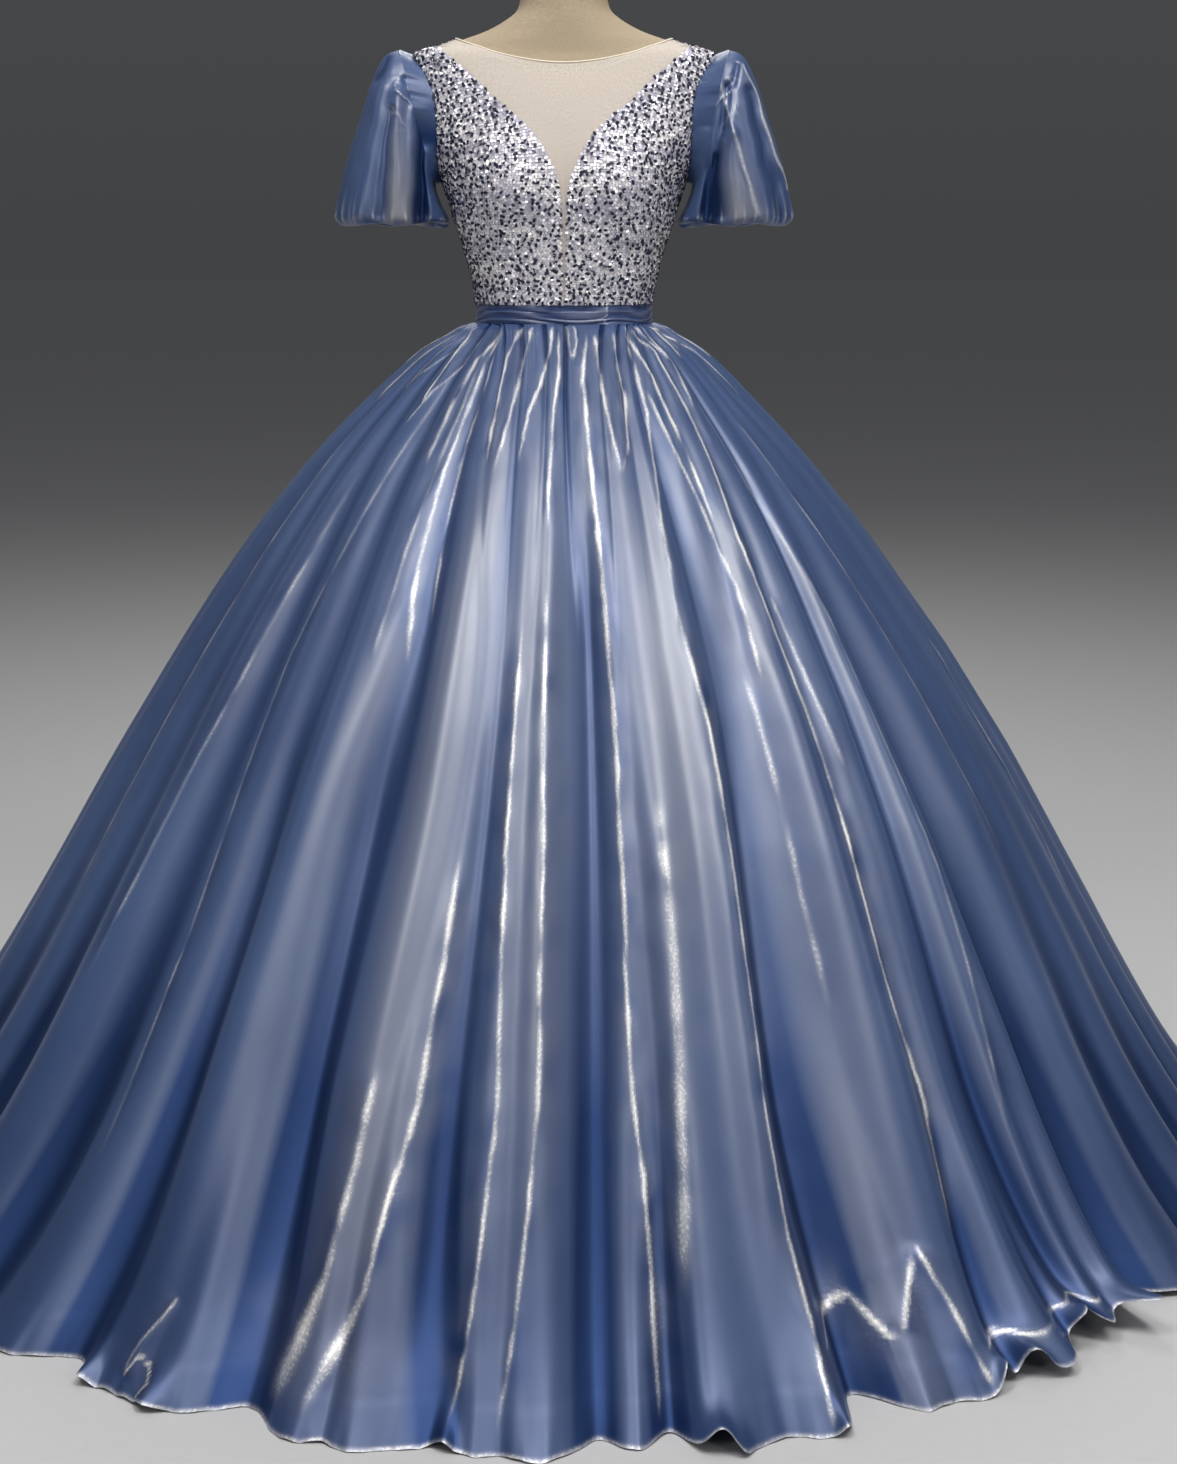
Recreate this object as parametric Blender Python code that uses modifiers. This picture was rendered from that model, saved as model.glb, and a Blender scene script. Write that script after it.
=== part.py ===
"""Ball gown on a limbless dress form, at its real size, in metres, +Z up.

The front faces -Y and the wearer's left is +X. The origin is on the floor under the pole.
Cloth is an open surface worked out from sizes and short tables, with Solidify for its wall.
Azimuths and form angles run from the front (0) towards +X (90 degrees).
"""

import math

import bmesh
import bpy
import numpy as np

CLOTH = 0.0013  # wall of every cloth piece
SEAM = 0.0003  # gap between pieces that are sewn together
V_SEAM = 0.0006  # half the gap between the net and each sequinned front
EASE = 0.0027  # gap between the form and the bodice
SHOULDER_EASE = 0.0012  # added to it over the shoulder seam, and how far down it fades
SHOULDER_FADE = 0.012

# Heights of the gown above the floor.
BELT_BOTTOM = 1.108
BELT_TOP = 1.138
UNDERARM = 1.300
SHOULDER_TIP = 1.4615
NECK_SHOULDER = 1.480  # where the neckline crosses the shoulder
FRONT_NECK = 1.448
BACK_NECK = 1.455
HEM = 0.0006  # lowest edge of the skirt, just off the floor

SHOULDER_SLOPE = 0.4  # rise of the shoulder for each metre towards the neck
NECKLINE_SWEEP = 1.9  # how flat the boat neckline runs before it rises to the shoulder
ARMHOLE_HALF_DEPTH = 0.050
SLEEVE_INSET = 0.0012  # how far inside the armhole the sleeve starts
SLEEVE_ROOT = 0.004  # how far it stands straight out before it flares

BUST_X = 0.078
BUST_Z = 1.283
BUST_WIDTH = 0.048
BUST_HEIGHT = 0.055
BUST_LIFT = 0.020

STAND_RADIUS = 0.170
STAND_THICKNESS = 0.012
POLE_RADIUS = 0.0125
NECK_CAP_THICKNESS = 0.006
BINDING_RADIUS = 0.0013


def table(columns, *rows):
    """A short table as a dictionary of named columns."""
    return dict(zip(columns.split(), np.array(rows, float).T))


# The dress form, a row for each level section. Squareness 2 is an ellipse.
TORSO = table(
    "height half_width front back squareness",
    (0.884, 0.1100, 0.0700, 0.0800, 2.30),
    (0.889, 0.1360, 0.0880, 0.1000, 2.30),
    (0.906, 0.1550, 0.1000, 0.1140, 2.35),
    (0.950, 0.1630, 0.1050, 0.1190, 2.40),
    (1.000, 0.1570, 0.1010, 0.1120, 2.40),
    (1.050, 0.1390, 0.0930, 0.0980, 2.35),
    (1.090, 0.1215, 0.0870, 0.0880, 2.30),
    (1.123, 0.1158, 0.0845, 0.0845, 2.30),
    (1.155, 0.1172, 0.0860, 0.0850, 2.30),
    (1.195, 0.1255, 0.0910, 0.0880, 2.35),
    (1.240, 0.1395, 0.0970, 0.0920, 2.40),
    (1.285, 0.1535, 0.1010, 0.0950, 2.45),
    (1.325, 0.1680, 0.0990, 0.0960, 2.50),
    (1.365, 0.1800, 0.0920, 0.0950, 2.50),
    (1.400, 0.1880, 0.0830, 0.0900, 2.50),
    (1.430, 0.1930, 0.0735, 0.0820, 2.50),
    (1.450, 0.1950, 0.0660, 0.0730, 2.50),
    (SHOULDER_TIP, 0.1940, 0.0605, 0.0660, 2.40),
    (1.470, 0.1680, 0.0585, 0.0625, 2.20),
    (NECK_SHOULDER, 0.1425, 0.0570, 0.0600, 2.10),
    (1.4915, 0.1090, 0.0555, 0.0575, 2.00),
    (1.500, 0.0903, 0.0545, 0.0560, 2.00),
    (1.5096, 0.0743, 0.0535, 0.0550, 2.00),
    (1.5185, 0.0637, 0.0525, 0.0540, 2.00),
    (1.530, 0.0587, 0.0515, 0.0530, 2.00),
    (1.546, 0.0570, 0.0505, 0.0520, 2.00),
    (1.562, 0.0575, 0.0510, 0.0525, 2.00),
)

TORSO_COLUMNS = 26
EXTRA_RINGS = (6.5, 7.5, 18.5)  # between rows, where the form curves most

# Half the gap between the two front panels, which the net fills, up to the shoulder.
V_EDGE = table(
    "height half_gap",
    (1.138, 0.0012),
    (1.160, 0.0018),
    (1.200, 0.0026),
    (1.240, 0.0032),
    (1.268, 0.0038),
    (1.290, 0.0062),
    (1.308, 0.0113),
    (1.326, 0.0193),
    (1.347, 0.0305),
    (1.367, 0.0475),
    (1.386, 0.0690),
    (1.404, 0.0915),
    (1.433, 0.1200),
    (1.4500, 0.1410),
    (1.4600, 0.1540),
    (1.4665, 0.1630),
    (1.4700, 0.1680),
)

# A puff sleeve, a row for each ring from the armhole to the edge turned up inside the hem.
# Each ring runs through an outer and an inner point at y = 0. Gathers and furrow are depths.
SLEEVE = table(
    "outer_x outer_z inner_x inner_z half_depth gathers furrow",
    (0.2200, 1.4695, 0.1720, 1.2935, 0.068, 0.0030, 0.001),
    (0.2380, 1.4570, 0.1720, 1.2890, 0.075, 0.0026, 0.003),
    (0.2560, 1.4250, 0.1700, 1.2820, 0.082, 0.0012, 0.008),
    (0.2700, 1.3880, 0.1670, 1.2740, 0.086, 0.0004, 0.011),
    (0.2860, 1.3420, 0.1630, 1.2650, 0.089, 0.0006, 0.014),
    (0.2985, 1.3000, 0.1590, 1.2580, 0.089, 0.0012, 0.016),
    (0.3065, 1.2640, 0.1560, 1.2500, 0.087, 0.0022, 0.015),
    (0.3055, 1.2490, 0.1560, 1.2435, 0.084, 0.0024, 0.012),
    (0.2970, 1.2420, 0.1610, 1.2400, 0.078, 0.0018, 0.008),
    (0.2850, 1.2450, 0.1710, 1.2440, 0.071, 0.0010, 0.004),
    (0.2780, 1.2560, 0.1770, 1.2540, 0.066, 0.0000, 0.002),
)
SIDE_ROWS = 7  # points of a panel's side edge below the underarm
ARMHOLE_STEPS = 12  # from the underarm to the shoulder, in front or behind
NECK_COLUMNS = 7  # from the centre of the neckline to the shoulder
FRONT_COLUMNS = 11
TOP_BEND = 1.1  # how late a panel's rows take the shape of its top edge
SLEEVE_GATHERS = ARMHOLE_STEPS
SLEEVE_COLUMNS = 2 * ARMHOLE_STEPS
FURROW_ANGLE = math.radians(134)  # from the outer point of the ring, on both faces
FURROW_SPREAD = math.radians(13)

# The belt, a row for each fold line of its outer face, from its lower to its upper edge.
BELT = table(
    "share thickness",
    (0.00, 0.0016),
    (0.04, 0.0026),
    (0.22, 0.0034),
    (0.33, 0.0022),
    (0.42, 0.0035),
    (0.66, 0.0023),
    (0.74, 0.0034),
    (0.95, 0.0029),
    (1.00, 0.0016),
)
BELT_EASE = 0.0010
BELT_COLUMNS = 36
LAP_ANGLE = math.radians(28)  # where the belt's outer end is lapped over, on the wearer's left
LAP_LENGTH = math.radians(32)
LAP_THICKNESS = 0.0009

# The skirt's outer line, a row for each section from the hem to the waist, without its folds.
SKIRT = table(
    "height side front squareness",
    (HEM, 0.968, 1.040, 2.0),
    (0.090, 0.895, 0.955, 2.0),
    (0.210, 0.818, 0.866, 2.0),
    (0.360, 0.731, 0.766, 2.0),
    (0.520, 0.639, 0.657, 2.0),
    (0.680, 0.537, 0.546, 2.0),
    (0.820, 0.440, 0.441, 2.0),
    (0.930, 0.351, 0.346, 2.0),
    (1.010, 0.272, 0.261, 2.0),
    (1.070, 0.203, 0.180, 2.1),
    (1.098, 0.153, 0.124, 2.2),
    (BELT_BOTTOM - SEAM - CLOTH, 0.1265, 0.0955, 2.3),
)
SKIRT_LEAN = 0.018  # how much longer the hem runs towards the wearer's right front
SKIRT_LEAN_ANGLE = math.radians(-60)
FAN_LENGTH = 0.060  # how far out from the waist the gathers turn into radial folds

# Where folds at an azimuth start on the waist, for a quarter of the skirt.
FAN = table(
    "skirt waist",
    (0, 0),
    (6, 24),
    (18, 50),
    (30, 57),
    (45, 66),
    (60, 74),
    (75, 83),
    (90, 90),
)

# Shares of the skirt's length, from the waist, at which the folds' azimuths are given.
FOLD_LEVELS = {"top": 0.11, "middle": 0.40, "low": 0.75, "hem": 1.00}

# Valleys of the skirt's folds: azimuths at those levels in degrees, depths in millimetres of
# the waist gather, of the fold half way down and of the fold at the hem, half widths in
# degrees before and after the valley, and millimetres by which the loose hem curls up.
FRONT_FOLDS = table(
    "top middle low hem gather mid hem_depth before after lift",
    (-82.0, -82.0, -82.0, -82.0, 6, 12, 44, 3.2, 3.0, 0),
    (-68.6, -68.0, -68.0, -69.0, 6, 14, 46, 3.0, 3.0, 0),
    (-59.0, -58.5, -58.0, -58.0, 6, 22, 50, 3.0, 2.6, 0),
    (-49.0, -46.0, -43.5, -45.5, 6, 24, 46, 2.5, 3.4, 0),
    (-36.5, -35.0, -34.0, -33.5, 6, 22, 42, 2.6, 1.8, 0),
    (-29.5, -27.5, -26.5, -26.5, 6, 3, 6, 1.2, 1.2, 0),
    (-24.0, -20.8, -21.5, -19.3, 7, 34, 44, 2.2, 3.2, 0),
    (-17.7, -11.8, -13.9, -14.0, 6, 6, 9, 0.8, 0.7, 0),
    (-11.2, -8.4, -9.4, -7.2, 7, 17, 24, 1.5, 1.7, 0),
    (-4.2, -4.2, -4.1, -4.0, 6, 9, 8, 0.9, 0.9, 0),
    (0.3, 2.0, 2.0, 2.2, 7, 18, 18, 1.8, 1.8, 0),
    (9.7, 7.7, 7.2, 6.5, 7, 16, 52, 1.6, 1.0, 0),
    (15.8, 13.8, 13.0, 12.6, 7, 15, 8, 1.7, 1.3, 0),
    (20.8, 21.2, 18.4, 18.8, 6, 22, 78, 1.2, 2.8, 0),
    (29.6, 26.5, 23.9, 24.4, 6, 18, 12, 2.2, 1.4, 0),
    (36.5, 33.4, 31.2, 29.4, 6, 12, 32, 1.0, 1.4, 0),
    (40.5, 37.5, 34.6, 34.8, 0, 0, 26, 0.9, 0.9, 20),
    (43.5, 41.0, 37.2, 37.2, 6, 20, 34, 1.1, 1.0, 26),
    (47.0, 44.0, 40.4, 39.8, 0, 0, 28, 1.0, 1.0, 24),
    (50.5, 47.0, 45.0, 43.8, 6, 15, 56, 1.3, 2.8, 10),
    (57.0, 60.0, 57.0, 56.5, 6, 16, 50, 3.0, 3.0, 0),
    (64.0, 68.0, 66.0, 66.0, 6, 13, 44, 2.6, 3.0, 0),
    (73.0, 76.0, 75.5, 76.0, 6, 14, 50, 3.0, 2.8, 0),
    (83.0, 85.0, 85.0, 86.0, 6, 12, 44, 3.0, 3.0, 0),
)
BACK_FOLD_COUNT = 15
BACK_FOLDS = table(
    "gather mid hem_depth before after",
    (6, 18, 52, 3.2, 2.6),
    (7, 25, 60, 2.6, 3.4),
    (6, 14, 42, 2.8, 2.8),
)
BACK_FOLD_SEED = 7
FOLD_COLUMNS = (0.0, 0.2, 0.5, 0.8)  # share of the way from one valley to the next
SEAM_MARGIN = 0.1  # the same, between a seam and the nearest column beside it
GATHER_WIDTH = 2.2  # degrees of azimuth at the waist
GATHER_FADE = 0.10  # shares of the skirt's length
HEM_RISE = 2.6
LIFT_RISE = 12
MM = 0.001

# The gores, from the seam at the centre back round by the wearer's right.
GORES = (
    ("skirt_back_right", -180.0),
    ("skirt_side_back_right", -126.0),
    ("skirt_side_front_right", -75.5),
    ("skirt_front", -30.0),
    ("skirt_side_front_left", 27.0),
    ("skirt_side_back_left", 81.0),
    ("skirt_back_left", 126.0),
)


def clear_scene():
    for item in list(bpy.data.objects):
        bpy.data.objects.remove(item, do_unlink=True)


def new_material(name, colour, roughness, metallic=0.0):
    material = bpy.data.materials.new(name)
    material.use_nodes = True
    shader = material.node_tree.nodes["Principled BSDF"]
    shader.inputs["Base Color"].default_value = (*colour, 1.0)
    shader.inputs["Roughness"].default_value = roughness
    shader.inputs["Metallic"].default_value = metallic
    return material


def add_mesh(name, mesh, material, collection):
    item = bpy.data.objects.new(name, mesh)
    collection.objects.link(item)
    mesh.materials.append(material)
    mesh.shade_smooth()
    return item


def grid_mesh(name, points, wrap_columns=False, wrap_rows=False):
    """Quads between neighbouring points of a grid of rows and columns, closed where it wraps."""
    rows, columns = points.shape[:2]
    number = np.arange(rows * columns).reshape(rows, columns)
    if wrap_columns:
        number = np.concatenate([number, number[:, :1]], axis=1)
    if wrap_rows:
        number = np.concatenate([number, number[:1]], axis=0)
    quads = np.stack([number[:-1, :-1], number[:-1, 1:], number[1:, 1:], number[1:, :-1]], axis=-1)
    mesh = bpy.data.meshes.new(name)
    mesh.from_pydata(points.reshape(-1, 3).tolist(), [], quads.reshape(-1, 4).tolist())
    return mesh


def narrowing_mesh(name, narrow, wide):
    """A grid of three columns that opens into one of many, with one face on each side between."""
    lower = np.arange(narrow[..., 0].size).reshape(narrow.shape[:2])
    upper = lower.size + np.arange(wide[..., 0].size).reshape(wide.shape[:2])
    quads = [
        np.stack([n[:-1, :-1], n[:-1, 1:], n[1:, 1:], n[1:, :-1]], axis=-1).reshape(-1, 4)
        for n in (lower, upper)
    ]
    middle = wide.shape[1] // 2
    left = [lower[-1, 0], lower[-1, 1], *upper[0, middle::-1]]
    right = [lower[-1, 1], lower[-1, 2], *upper[0, :middle - 1:-1]]
    faces = [*np.concatenate(quads).tolist(), list(map(int, left)), list(map(int, right))]
    mesh = bpy.data.meshes.new(name)
    points = np.concatenate([narrow.reshape(-1, 3), wide.reshape(-1, 3)])
    mesh.from_pydata(points.tolist(), [], faces)
    return mesh


def add_wall(item, grows):
    """The cloth's thickness, inwards from its outer face for -1 or outwards from its inner one for 1."""
    wall = item.modifiers.new("wall", "SOLIDIFY")
    wall.thickness = CLOTH
    wall.offset = grows


def add_cloth(name, points, material, collection, wrap_columns=False, grows=-1.0):
    item = add_mesh(name, grid_mesh(name, points, wrap_columns), material, collection)
    add_wall(item, grows)


def mirrored(points):
    """The same grid on the wearer's right, still facing out."""
    return points[:, ::-1] * (-1.0, 1.0, 1.0)


def between_rows(column, row):
    """A table's column read at fractional row numbers, on a smooth curve through its rows."""
    last = len(column) - 1
    start = np.clip(np.floor(row).astype(int), 0, last - 1)
    t = row - start
    here, after = column[start], column[start + 1]
    slope_here = (after - column[np.maximum(start - 1, 0)]) / 2
    slope_after = (column[np.minimum(start + 2, last)] - here) / 2
    return (
        here * (2 * t**3 - 3 * t**2 + 1)
        + slope_here * (t**3 - 2 * t**2 + t)
        + after * (3 * t**2 - 2 * t**3)
        + slope_after * (t**3 - t**2)
    )


def torso_row(height):
    """The fractional row of the torso's table at a height."""
    rows = np.linspace(0, len(TORSO["height"]) - 1, 1301)
    return np.interp(height, between_rows(TORSO["height"], rows), rows)


def torso_sizes(row):
    return [between_rows(TORSO[name], row) for name in ("half_width", "front", "back", "squareness")]


def torso_point(angle, row):
    """A squared ellipse at each level, pushed forward over the bust by two soft bumps."""
    half_width, front, back, power = torso_sizes(row)
    sine, cosine = np.sin(angle), np.cos(angle)
    size = (np.abs(sine) ** power + np.abs(cosine) ** power) ** (-1 / power)
    x = half_width * sine * size
    z = between_rows(TORSO["height"], row)
    across = (np.abs(x) - BUST_X) / BUST_WIDTH
    up = (z - BUST_Z) / BUST_HEIGHT
    bust = BUST_LIFT * np.exp(-(across**2) - up**2) * np.maximum(cosine, 0)
    y = -np.where(cosine > 0, front, back) * cosine * size - bust
    return np.stack(np.broadcast_arrays(x, y, z), axis=-1)


def over_torso(angle, row, lift):
    """Points a distance out from the torso, along its normal."""
    angle, row, lift = np.broadcast_arrays(angle, row, lift)
    step = 1e-3
    around = torso_point(angle + step, row) - torso_point(angle - step, row)
    up = torso_point(angle, row + step) - torso_point(angle, row - step)
    normal = np.cross(around, up)
    normal /= np.linalg.norm(normal, axis=-1, keepdims=True)
    return torso_point(angle, row) + normal * lift[..., None]


def angle_from_share(share, power):
    """The form angle whose sine term is this share of the section's half width."""
    ratio = np.clip(share, 0.0, 1.0) ** power
    return np.arctan2(ratio ** (1 / power), (1 - ratio) ** (1 / power))


def angle_at_x(x, row):
    half_width, _, _, power = torso_sizes(row)
    return angle_from_share(x / half_width, power)


def angle_at_depth(depth, row, at_back):
    _, front, back, power = torso_sizes(row)
    beside = math.pi / 2 - angle_from_share(depth / (back if at_back else front), power)
    return math.pi - beside if at_back else beside


def seam_angle(row):
    """Half a seam's gap at the side, as a form angle."""
    return SEAM / 2 / torso_sizes(row)[1]


def spread(start, end, count):
    return np.linspace(start, end, count)


def between_edges(inner, outer, columns):
    """Straight rows between two edges, each a list of form angles and torso rows."""
    u = spread(0, 1, columns)[None, :, None]
    return inner[:, None] + (outer - inner)[:, None] * u


def up_to_top(inner, outer, top):
    """The same rows, bent more and more towards the shape of a top edge."""
    grid = between_edges(inner, outer, len(top))
    width = outer[:, 0] - inner[:, 0]
    narrowing = edge(width / width[-1], 1.0)[:, None]
    near_top = spread(0, 1, len(inner))[:, None, None] ** TOP_BEND
    return grid + near_top * narrowing * (top - grid[-1])


def edge(angle, row):
    return np.stack(np.broadcast_arrays(angle, row), axis=-1)


def on_torso(grid):
    """Points of the bodice's inner face."""
    away = (between_rows(TORSO["height"], grid[..., 1]) - SHOULDER_TIP) / SHOULDER_FADE
    return over_torso(grid[..., 0], grid[..., 1], EASE + SHOULDER_EASE * np.exp(-(away**2)))


def armhole(turn, at_back, inset=0.0):
    """Form angles and torso rows round the armhole. Turn is -90 degrees at the underarm."""
    half_height = (SHOULDER_TIP - UNDERARM) / 2
    row = torso_row(UNDERARM + half_height + (half_height - inset) * np.sin(turn))
    return angle_at_depth((ARMHOLE_HALF_DEPTH - inset) * np.cos(turn), row, at_back), row


def neckline(angle, lowest):
    """Torso rows along the neckline at form angles from its centre (0) to the shoulder (90)."""
    low, high = np.full(angle.shape, torso_row(lowest)), torso_row(NECK_SHOULDER)
    reach = TORSO["half_width"][TORSO["height"] == NECK_SHOULDER][0]
    row = (low + high) / 2
    for _ in range(60):
        half_width, _, _, power = torso_sizes(row)
        size = (np.sin(angle) ** power + np.cos(angle) ** power) ** (-1 / power)
        x = half_width * np.sin(angle) * size
        rise = (np.clip(x, 0, reach) / reach) ** NECKLINE_SWEEP
        wanted = torso_row(lowest + (NECK_SHOULDER - lowest) * rise)
        row = (row + wanted) / 2
    return row


def side_edge(at_back):
    """A panel's outer edge: the side seam from the waist up, then half the armhole."""
    row = torso_row(spread(BELT_TOP + SEAM, UNDERARM, SIDE_ROWS))
    away = seam_angle(row) * (1 if at_back else -1)
    turn = np.radians(spread(-90, 90, ARMHOLE_STEPS + 1))[1:]
    hole_angle, hole_row = armhole(turn, at_back)
    hole_away = seam_angle(hole_row) * (1 if at_back else -1)
    limit = np.maximum if at_back else np.minimum
    hole_angle = limit(hole_angle, math.pi / 2 + hole_away)
    return np.concatenate([edge(math.pi / 2 + away, row), edge(hole_angle, hole_row)])


def v_edge_points(away):
    """The V neckline's edge from the belt to the shoulder, moved sideways by half a seam.

    Above the underarm its points are evenly spaced along the form.
    """
    fine = spread(UNDERARM, V_EDGE["height"][-1], 400)
    points = torso_point(*v_edge_place(fine, 0.0))
    length = np.append(0, np.cumsum(np.linalg.norm(np.diff(points, axis=0), axis=1)))
    upper = np.interp(spread(0, length[-1], ARMHOLE_STEPS + 1)[1:], length, fine)
    lower = spread(BELT_TOP + SEAM, UNDERARM, SIDE_ROWS)
    return edge(*v_edge_place(np.append(lower, upper), away))


def v_edge_place(height, away):
    at_end = height == V_EDGE["height"][-1]
    row = torso_row(height - away * SHOULDER_SLOPE * at_end)
    gap = np.interp(height, V_EDGE["height"], V_EDGE["half_gap"]) + away
    return np.minimum(angle_at_x(gap, row), math.pi / 2 - seam_angle(row)), row


def front_panel():
    inner, outer = v_edge_points(V_SEAM), side_edge(at_back=False)
    return on_torso(between_edges(inner, outer, FRONT_COLUMNS))


def back_panel():
    outer = side_edge(at_back=True)
    neck_angle, neck_row = neck_edge(BACK_NECK)
    inner_row = spread(outer[0, 1], neck_row[0], len(outer))
    inner = edge(math.pi - SEAM / 2 / torso_sizes(inner_row)[2], inner_row)
    shoulder_row = spread(neck_row[-1], outer[-1, 1], 4)
    shoulder = edge(math.pi / 2 + seam_angle(shoulder_row), shoulder_row)
    top = np.concatenate([inner[-1:], edge(math.pi - neck_angle, neck_row)[1:-1], shoulder])
    return on_torso(up_to_top(inner, outer, top))[:, ::-1]


def neck_edge(lowest):
    """A neckline edge from its centre to the shoulder, below the binding by a seam's gap."""
    angle = spread(0, math.pi / 2, NECK_COLUMNS)
    drop = torso_row(lowest) - torso_row(lowest - BINDING_RADIUS - SEAM)
    return angle, neckline(angle, lowest) - drop


def net_yoke():
    """The net between the V edges: a narrow strip up to the underarms, and all above it."""
    v_edge = v_edge_points(-V_SEAM)
    neck_angle, neck_row = neck_edge(FRONT_NECK)
    shoulder_row = spread(v_edge[-1, 1], neck_row[-1], 3)[1:]
    shoulder = edge(math.pi / 2 - seam_angle(shoulder_row), shoulder_row)
    outer = np.concatenate([v_edge, shoulder])
    top = edge(neck_angle, neck_row)
    top[-1] = outer[-1]
    inner = edge(0.0, spread(outer[0, 1], neck_row[0], len(outer)))
    half = on_torso(up_to_top(inner, outer, top))
    whole = np.concatenate([mirrored(half)[:, :-1], half], axis=1)
    sides_and_middle = [0, NECK_COLUMNS - 1, -1]
    return whole[:SIDE_ROWS, sides_and_middle], whole[SIDE_ROWS:]


def sleeve():
    """Rings that turn from the armhole's plane to a level hem, gathered, with two furrows."""
    turn = spread(0, 2 * math.pi, SLEEVE_COLUMNS + 1)[:-1]
    at_back = np.sin(turn) < 0
    hole_turn = np.arcsin(np.cos(turn))
    front_angle, row = armhole(hole_turn, False, SLEEVE_INSET)
    back_angle, _ = armhole(hole_turn, True, SLEEVE_INSET)
    lift = EASE + CLOTH + np.array([[0.0], [SLEEVE_ROOT]])
    armhole_rings = over_torso(np.where(at_back, back_angle, front_angle)[None], row[None], lift)
    column = {name: values[:, None] for name, values in SLEEVE.items()}
    x = (column["outer_x"] + column["inner_x"]) / 2
    x = x + (column["outer_x"] - column["inner_x"]) / 2 * np.cos(turn)
    z = (column["outer_z"] + column["inner_z"]) / 2
    z = z + (column["outer_z"] - column["inner_z"]) / 2 * np.cos(turn)
    away = np.abs(np.mod(turn + math.pi, 2 * math.pi) - math.pi) - FURROW_ANGLE
    furrow = column["furrow"] * np.exp(-((away / FURROW_SPREAD) ** 2))
    ripple = column["gathers"] * np.cos(SLEEVE_GATHERS * turn)
    depth = column["half_depth"] * np.abs(np.sin(turn)) ** 0.9 + ripple * np.abs(np.sin(turn)) - furrow
    y = -np.sign(np.round(np.sin(turn), 9)) * depth
    x = x + ripple * np.cos(turn)
    rings = np.stack([x, y, z], axis=-1)
    return np.concatenate([armhole_rings, rings])


def belt():
    """A ring round the waist: a plain inner face and pleats raised in the outer one."""
    angle = spread(0, 2 * math.pi, BELT_COLUMNS + 1)[:-1]
    share = np.concatenate([BELT["share"], [1.0, 0.0]])
    thickness = np.concatenate([BELT["thickness"], [0.0, 0.0]])
    row = torso_row(BELT_BOTTOM + (BELT_TOP - BELT_BOTTOM) * share)
    behind_lap = np.mod(LAP_ANGLE - angle, 2 * math.pi) / LAP_LENGTH
    lap = LAP_THICKNESS * np.clip(1 - behind_lap, 0, 1)
    lift = BELT_EASE + thickness[:, None] + lap * (thickness > 0)[:, None]
    points = over_torso(angle[None, :], row[:, None], lift)
    points[..., 2] = (BELT_BOTTOM + (BELT_TOP - BELT_BOTTOM) * share)[:, None]
    return points


def waist_place(azimuth):
    """The azimuth on the waist from which the folds at this azimuth fan out."""
    signed = np.mod(azimuth + 180, 360) - 180
    quarter = np.minimum(np.abs(signed), 180 - np.abs(signed))
    moved = np.interp(quarter, FAN["skirt"], FAN["waist"]) - quarter
    return azimuth + moved * np.sign(signed) * np.sign(90 - np.abs(signed))


def all_folds():
    """Every valley of the skirt in order of azimuth, with the plain ones of the back added."""
    random = np.random.default_rng(BACK_FOLD_SEED)
    first, last = FRONT_FOLDS["hem"][-1], FRONT_FOLDS["hem"][0] + 360
    step = (last - first) / (BACK_FOLD_COUNT + 1)
    place = first + step * np.arange(1, BACK_FOLD_COUNT + 1)
    place = place + random.uniform(-0.14, 0.14, BACK_FOLD_COUNT) * step
    kind = np.arange(BACK_FOLD_COUNT) % len(BACK_FOLDS["mid"])
    back = {name: place for name in FOLD_LEVELS} | {"lift": np.zeros(BACK_FOLD_COUNT)}
    for name, sizes in BACK_FOLDS.items():
        back[name] = sizes[kind] * random.uniform(0.85, 1.15, BACK_FOLD_COUNT)
    folds = {name: np.append(FRONT_FOLDS[name], back[name]) for name in FRONT_FOLDS}
    return folds | {"waist": waist_place(folds["top"])}


def between_folds(azimuths, column):
    """Azimuths at column numbers. Number 3.5 is half way between the valleys 3 and 4."""
    count = azimuths.shape[-1]
    number = np.floor(column).astype(int)
    here, after = (azimuths[..., n % count] + 360 * (n // count) for n in (number, number + 1))
    return here + (after - here) * (column - number)


def nearest_crest(azimuth, folds):
    """The column half way between two valleys whose hem is nearest to this azimuth."""
    count = len(folds["hem"])
    crests = np.arange(-count, count) + 0.5
    return crests[np.argmin(np.abs(between_folds(folds["hem"], crests) - azimuth))]


def skirt_columns(start, end):
    """The columns of a gore: its seams, and four for each fold."""
    whole = np.arange(math.floor(start), math.ceil(end))
    place = (whole[:, None] + np.array(FOLD_COLUMNS)).ravel()
    inside = place[(place > start + SEAM_MARGIN) & (place < end - SEAM_MARGIN)]
    return np.concatenate([[start], inside, [end]])


def valley(azimuth, centre, before, after):
    away = np.mod(azimuth - centre + 180, 360) - 180
    return np.exp(-((away / np.where(away < 0, before, after)) ** 2))


def fold_azimuths(folds, share):
    """The valleys' azimuths, a row for each share of the skirt's length."""
    levels = np.array([folds[name] for name in FOLD_LEVELS])
    place = np.interp(share, list(FOLD_LEVELS.values()), np.arange(len(levels)))
    level = np.minimum(place.astype(int), len(levels) - 2)
    return levels[level] + (levels[level + 1] - levels[level]) * (place - level)[:, None]


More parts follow.
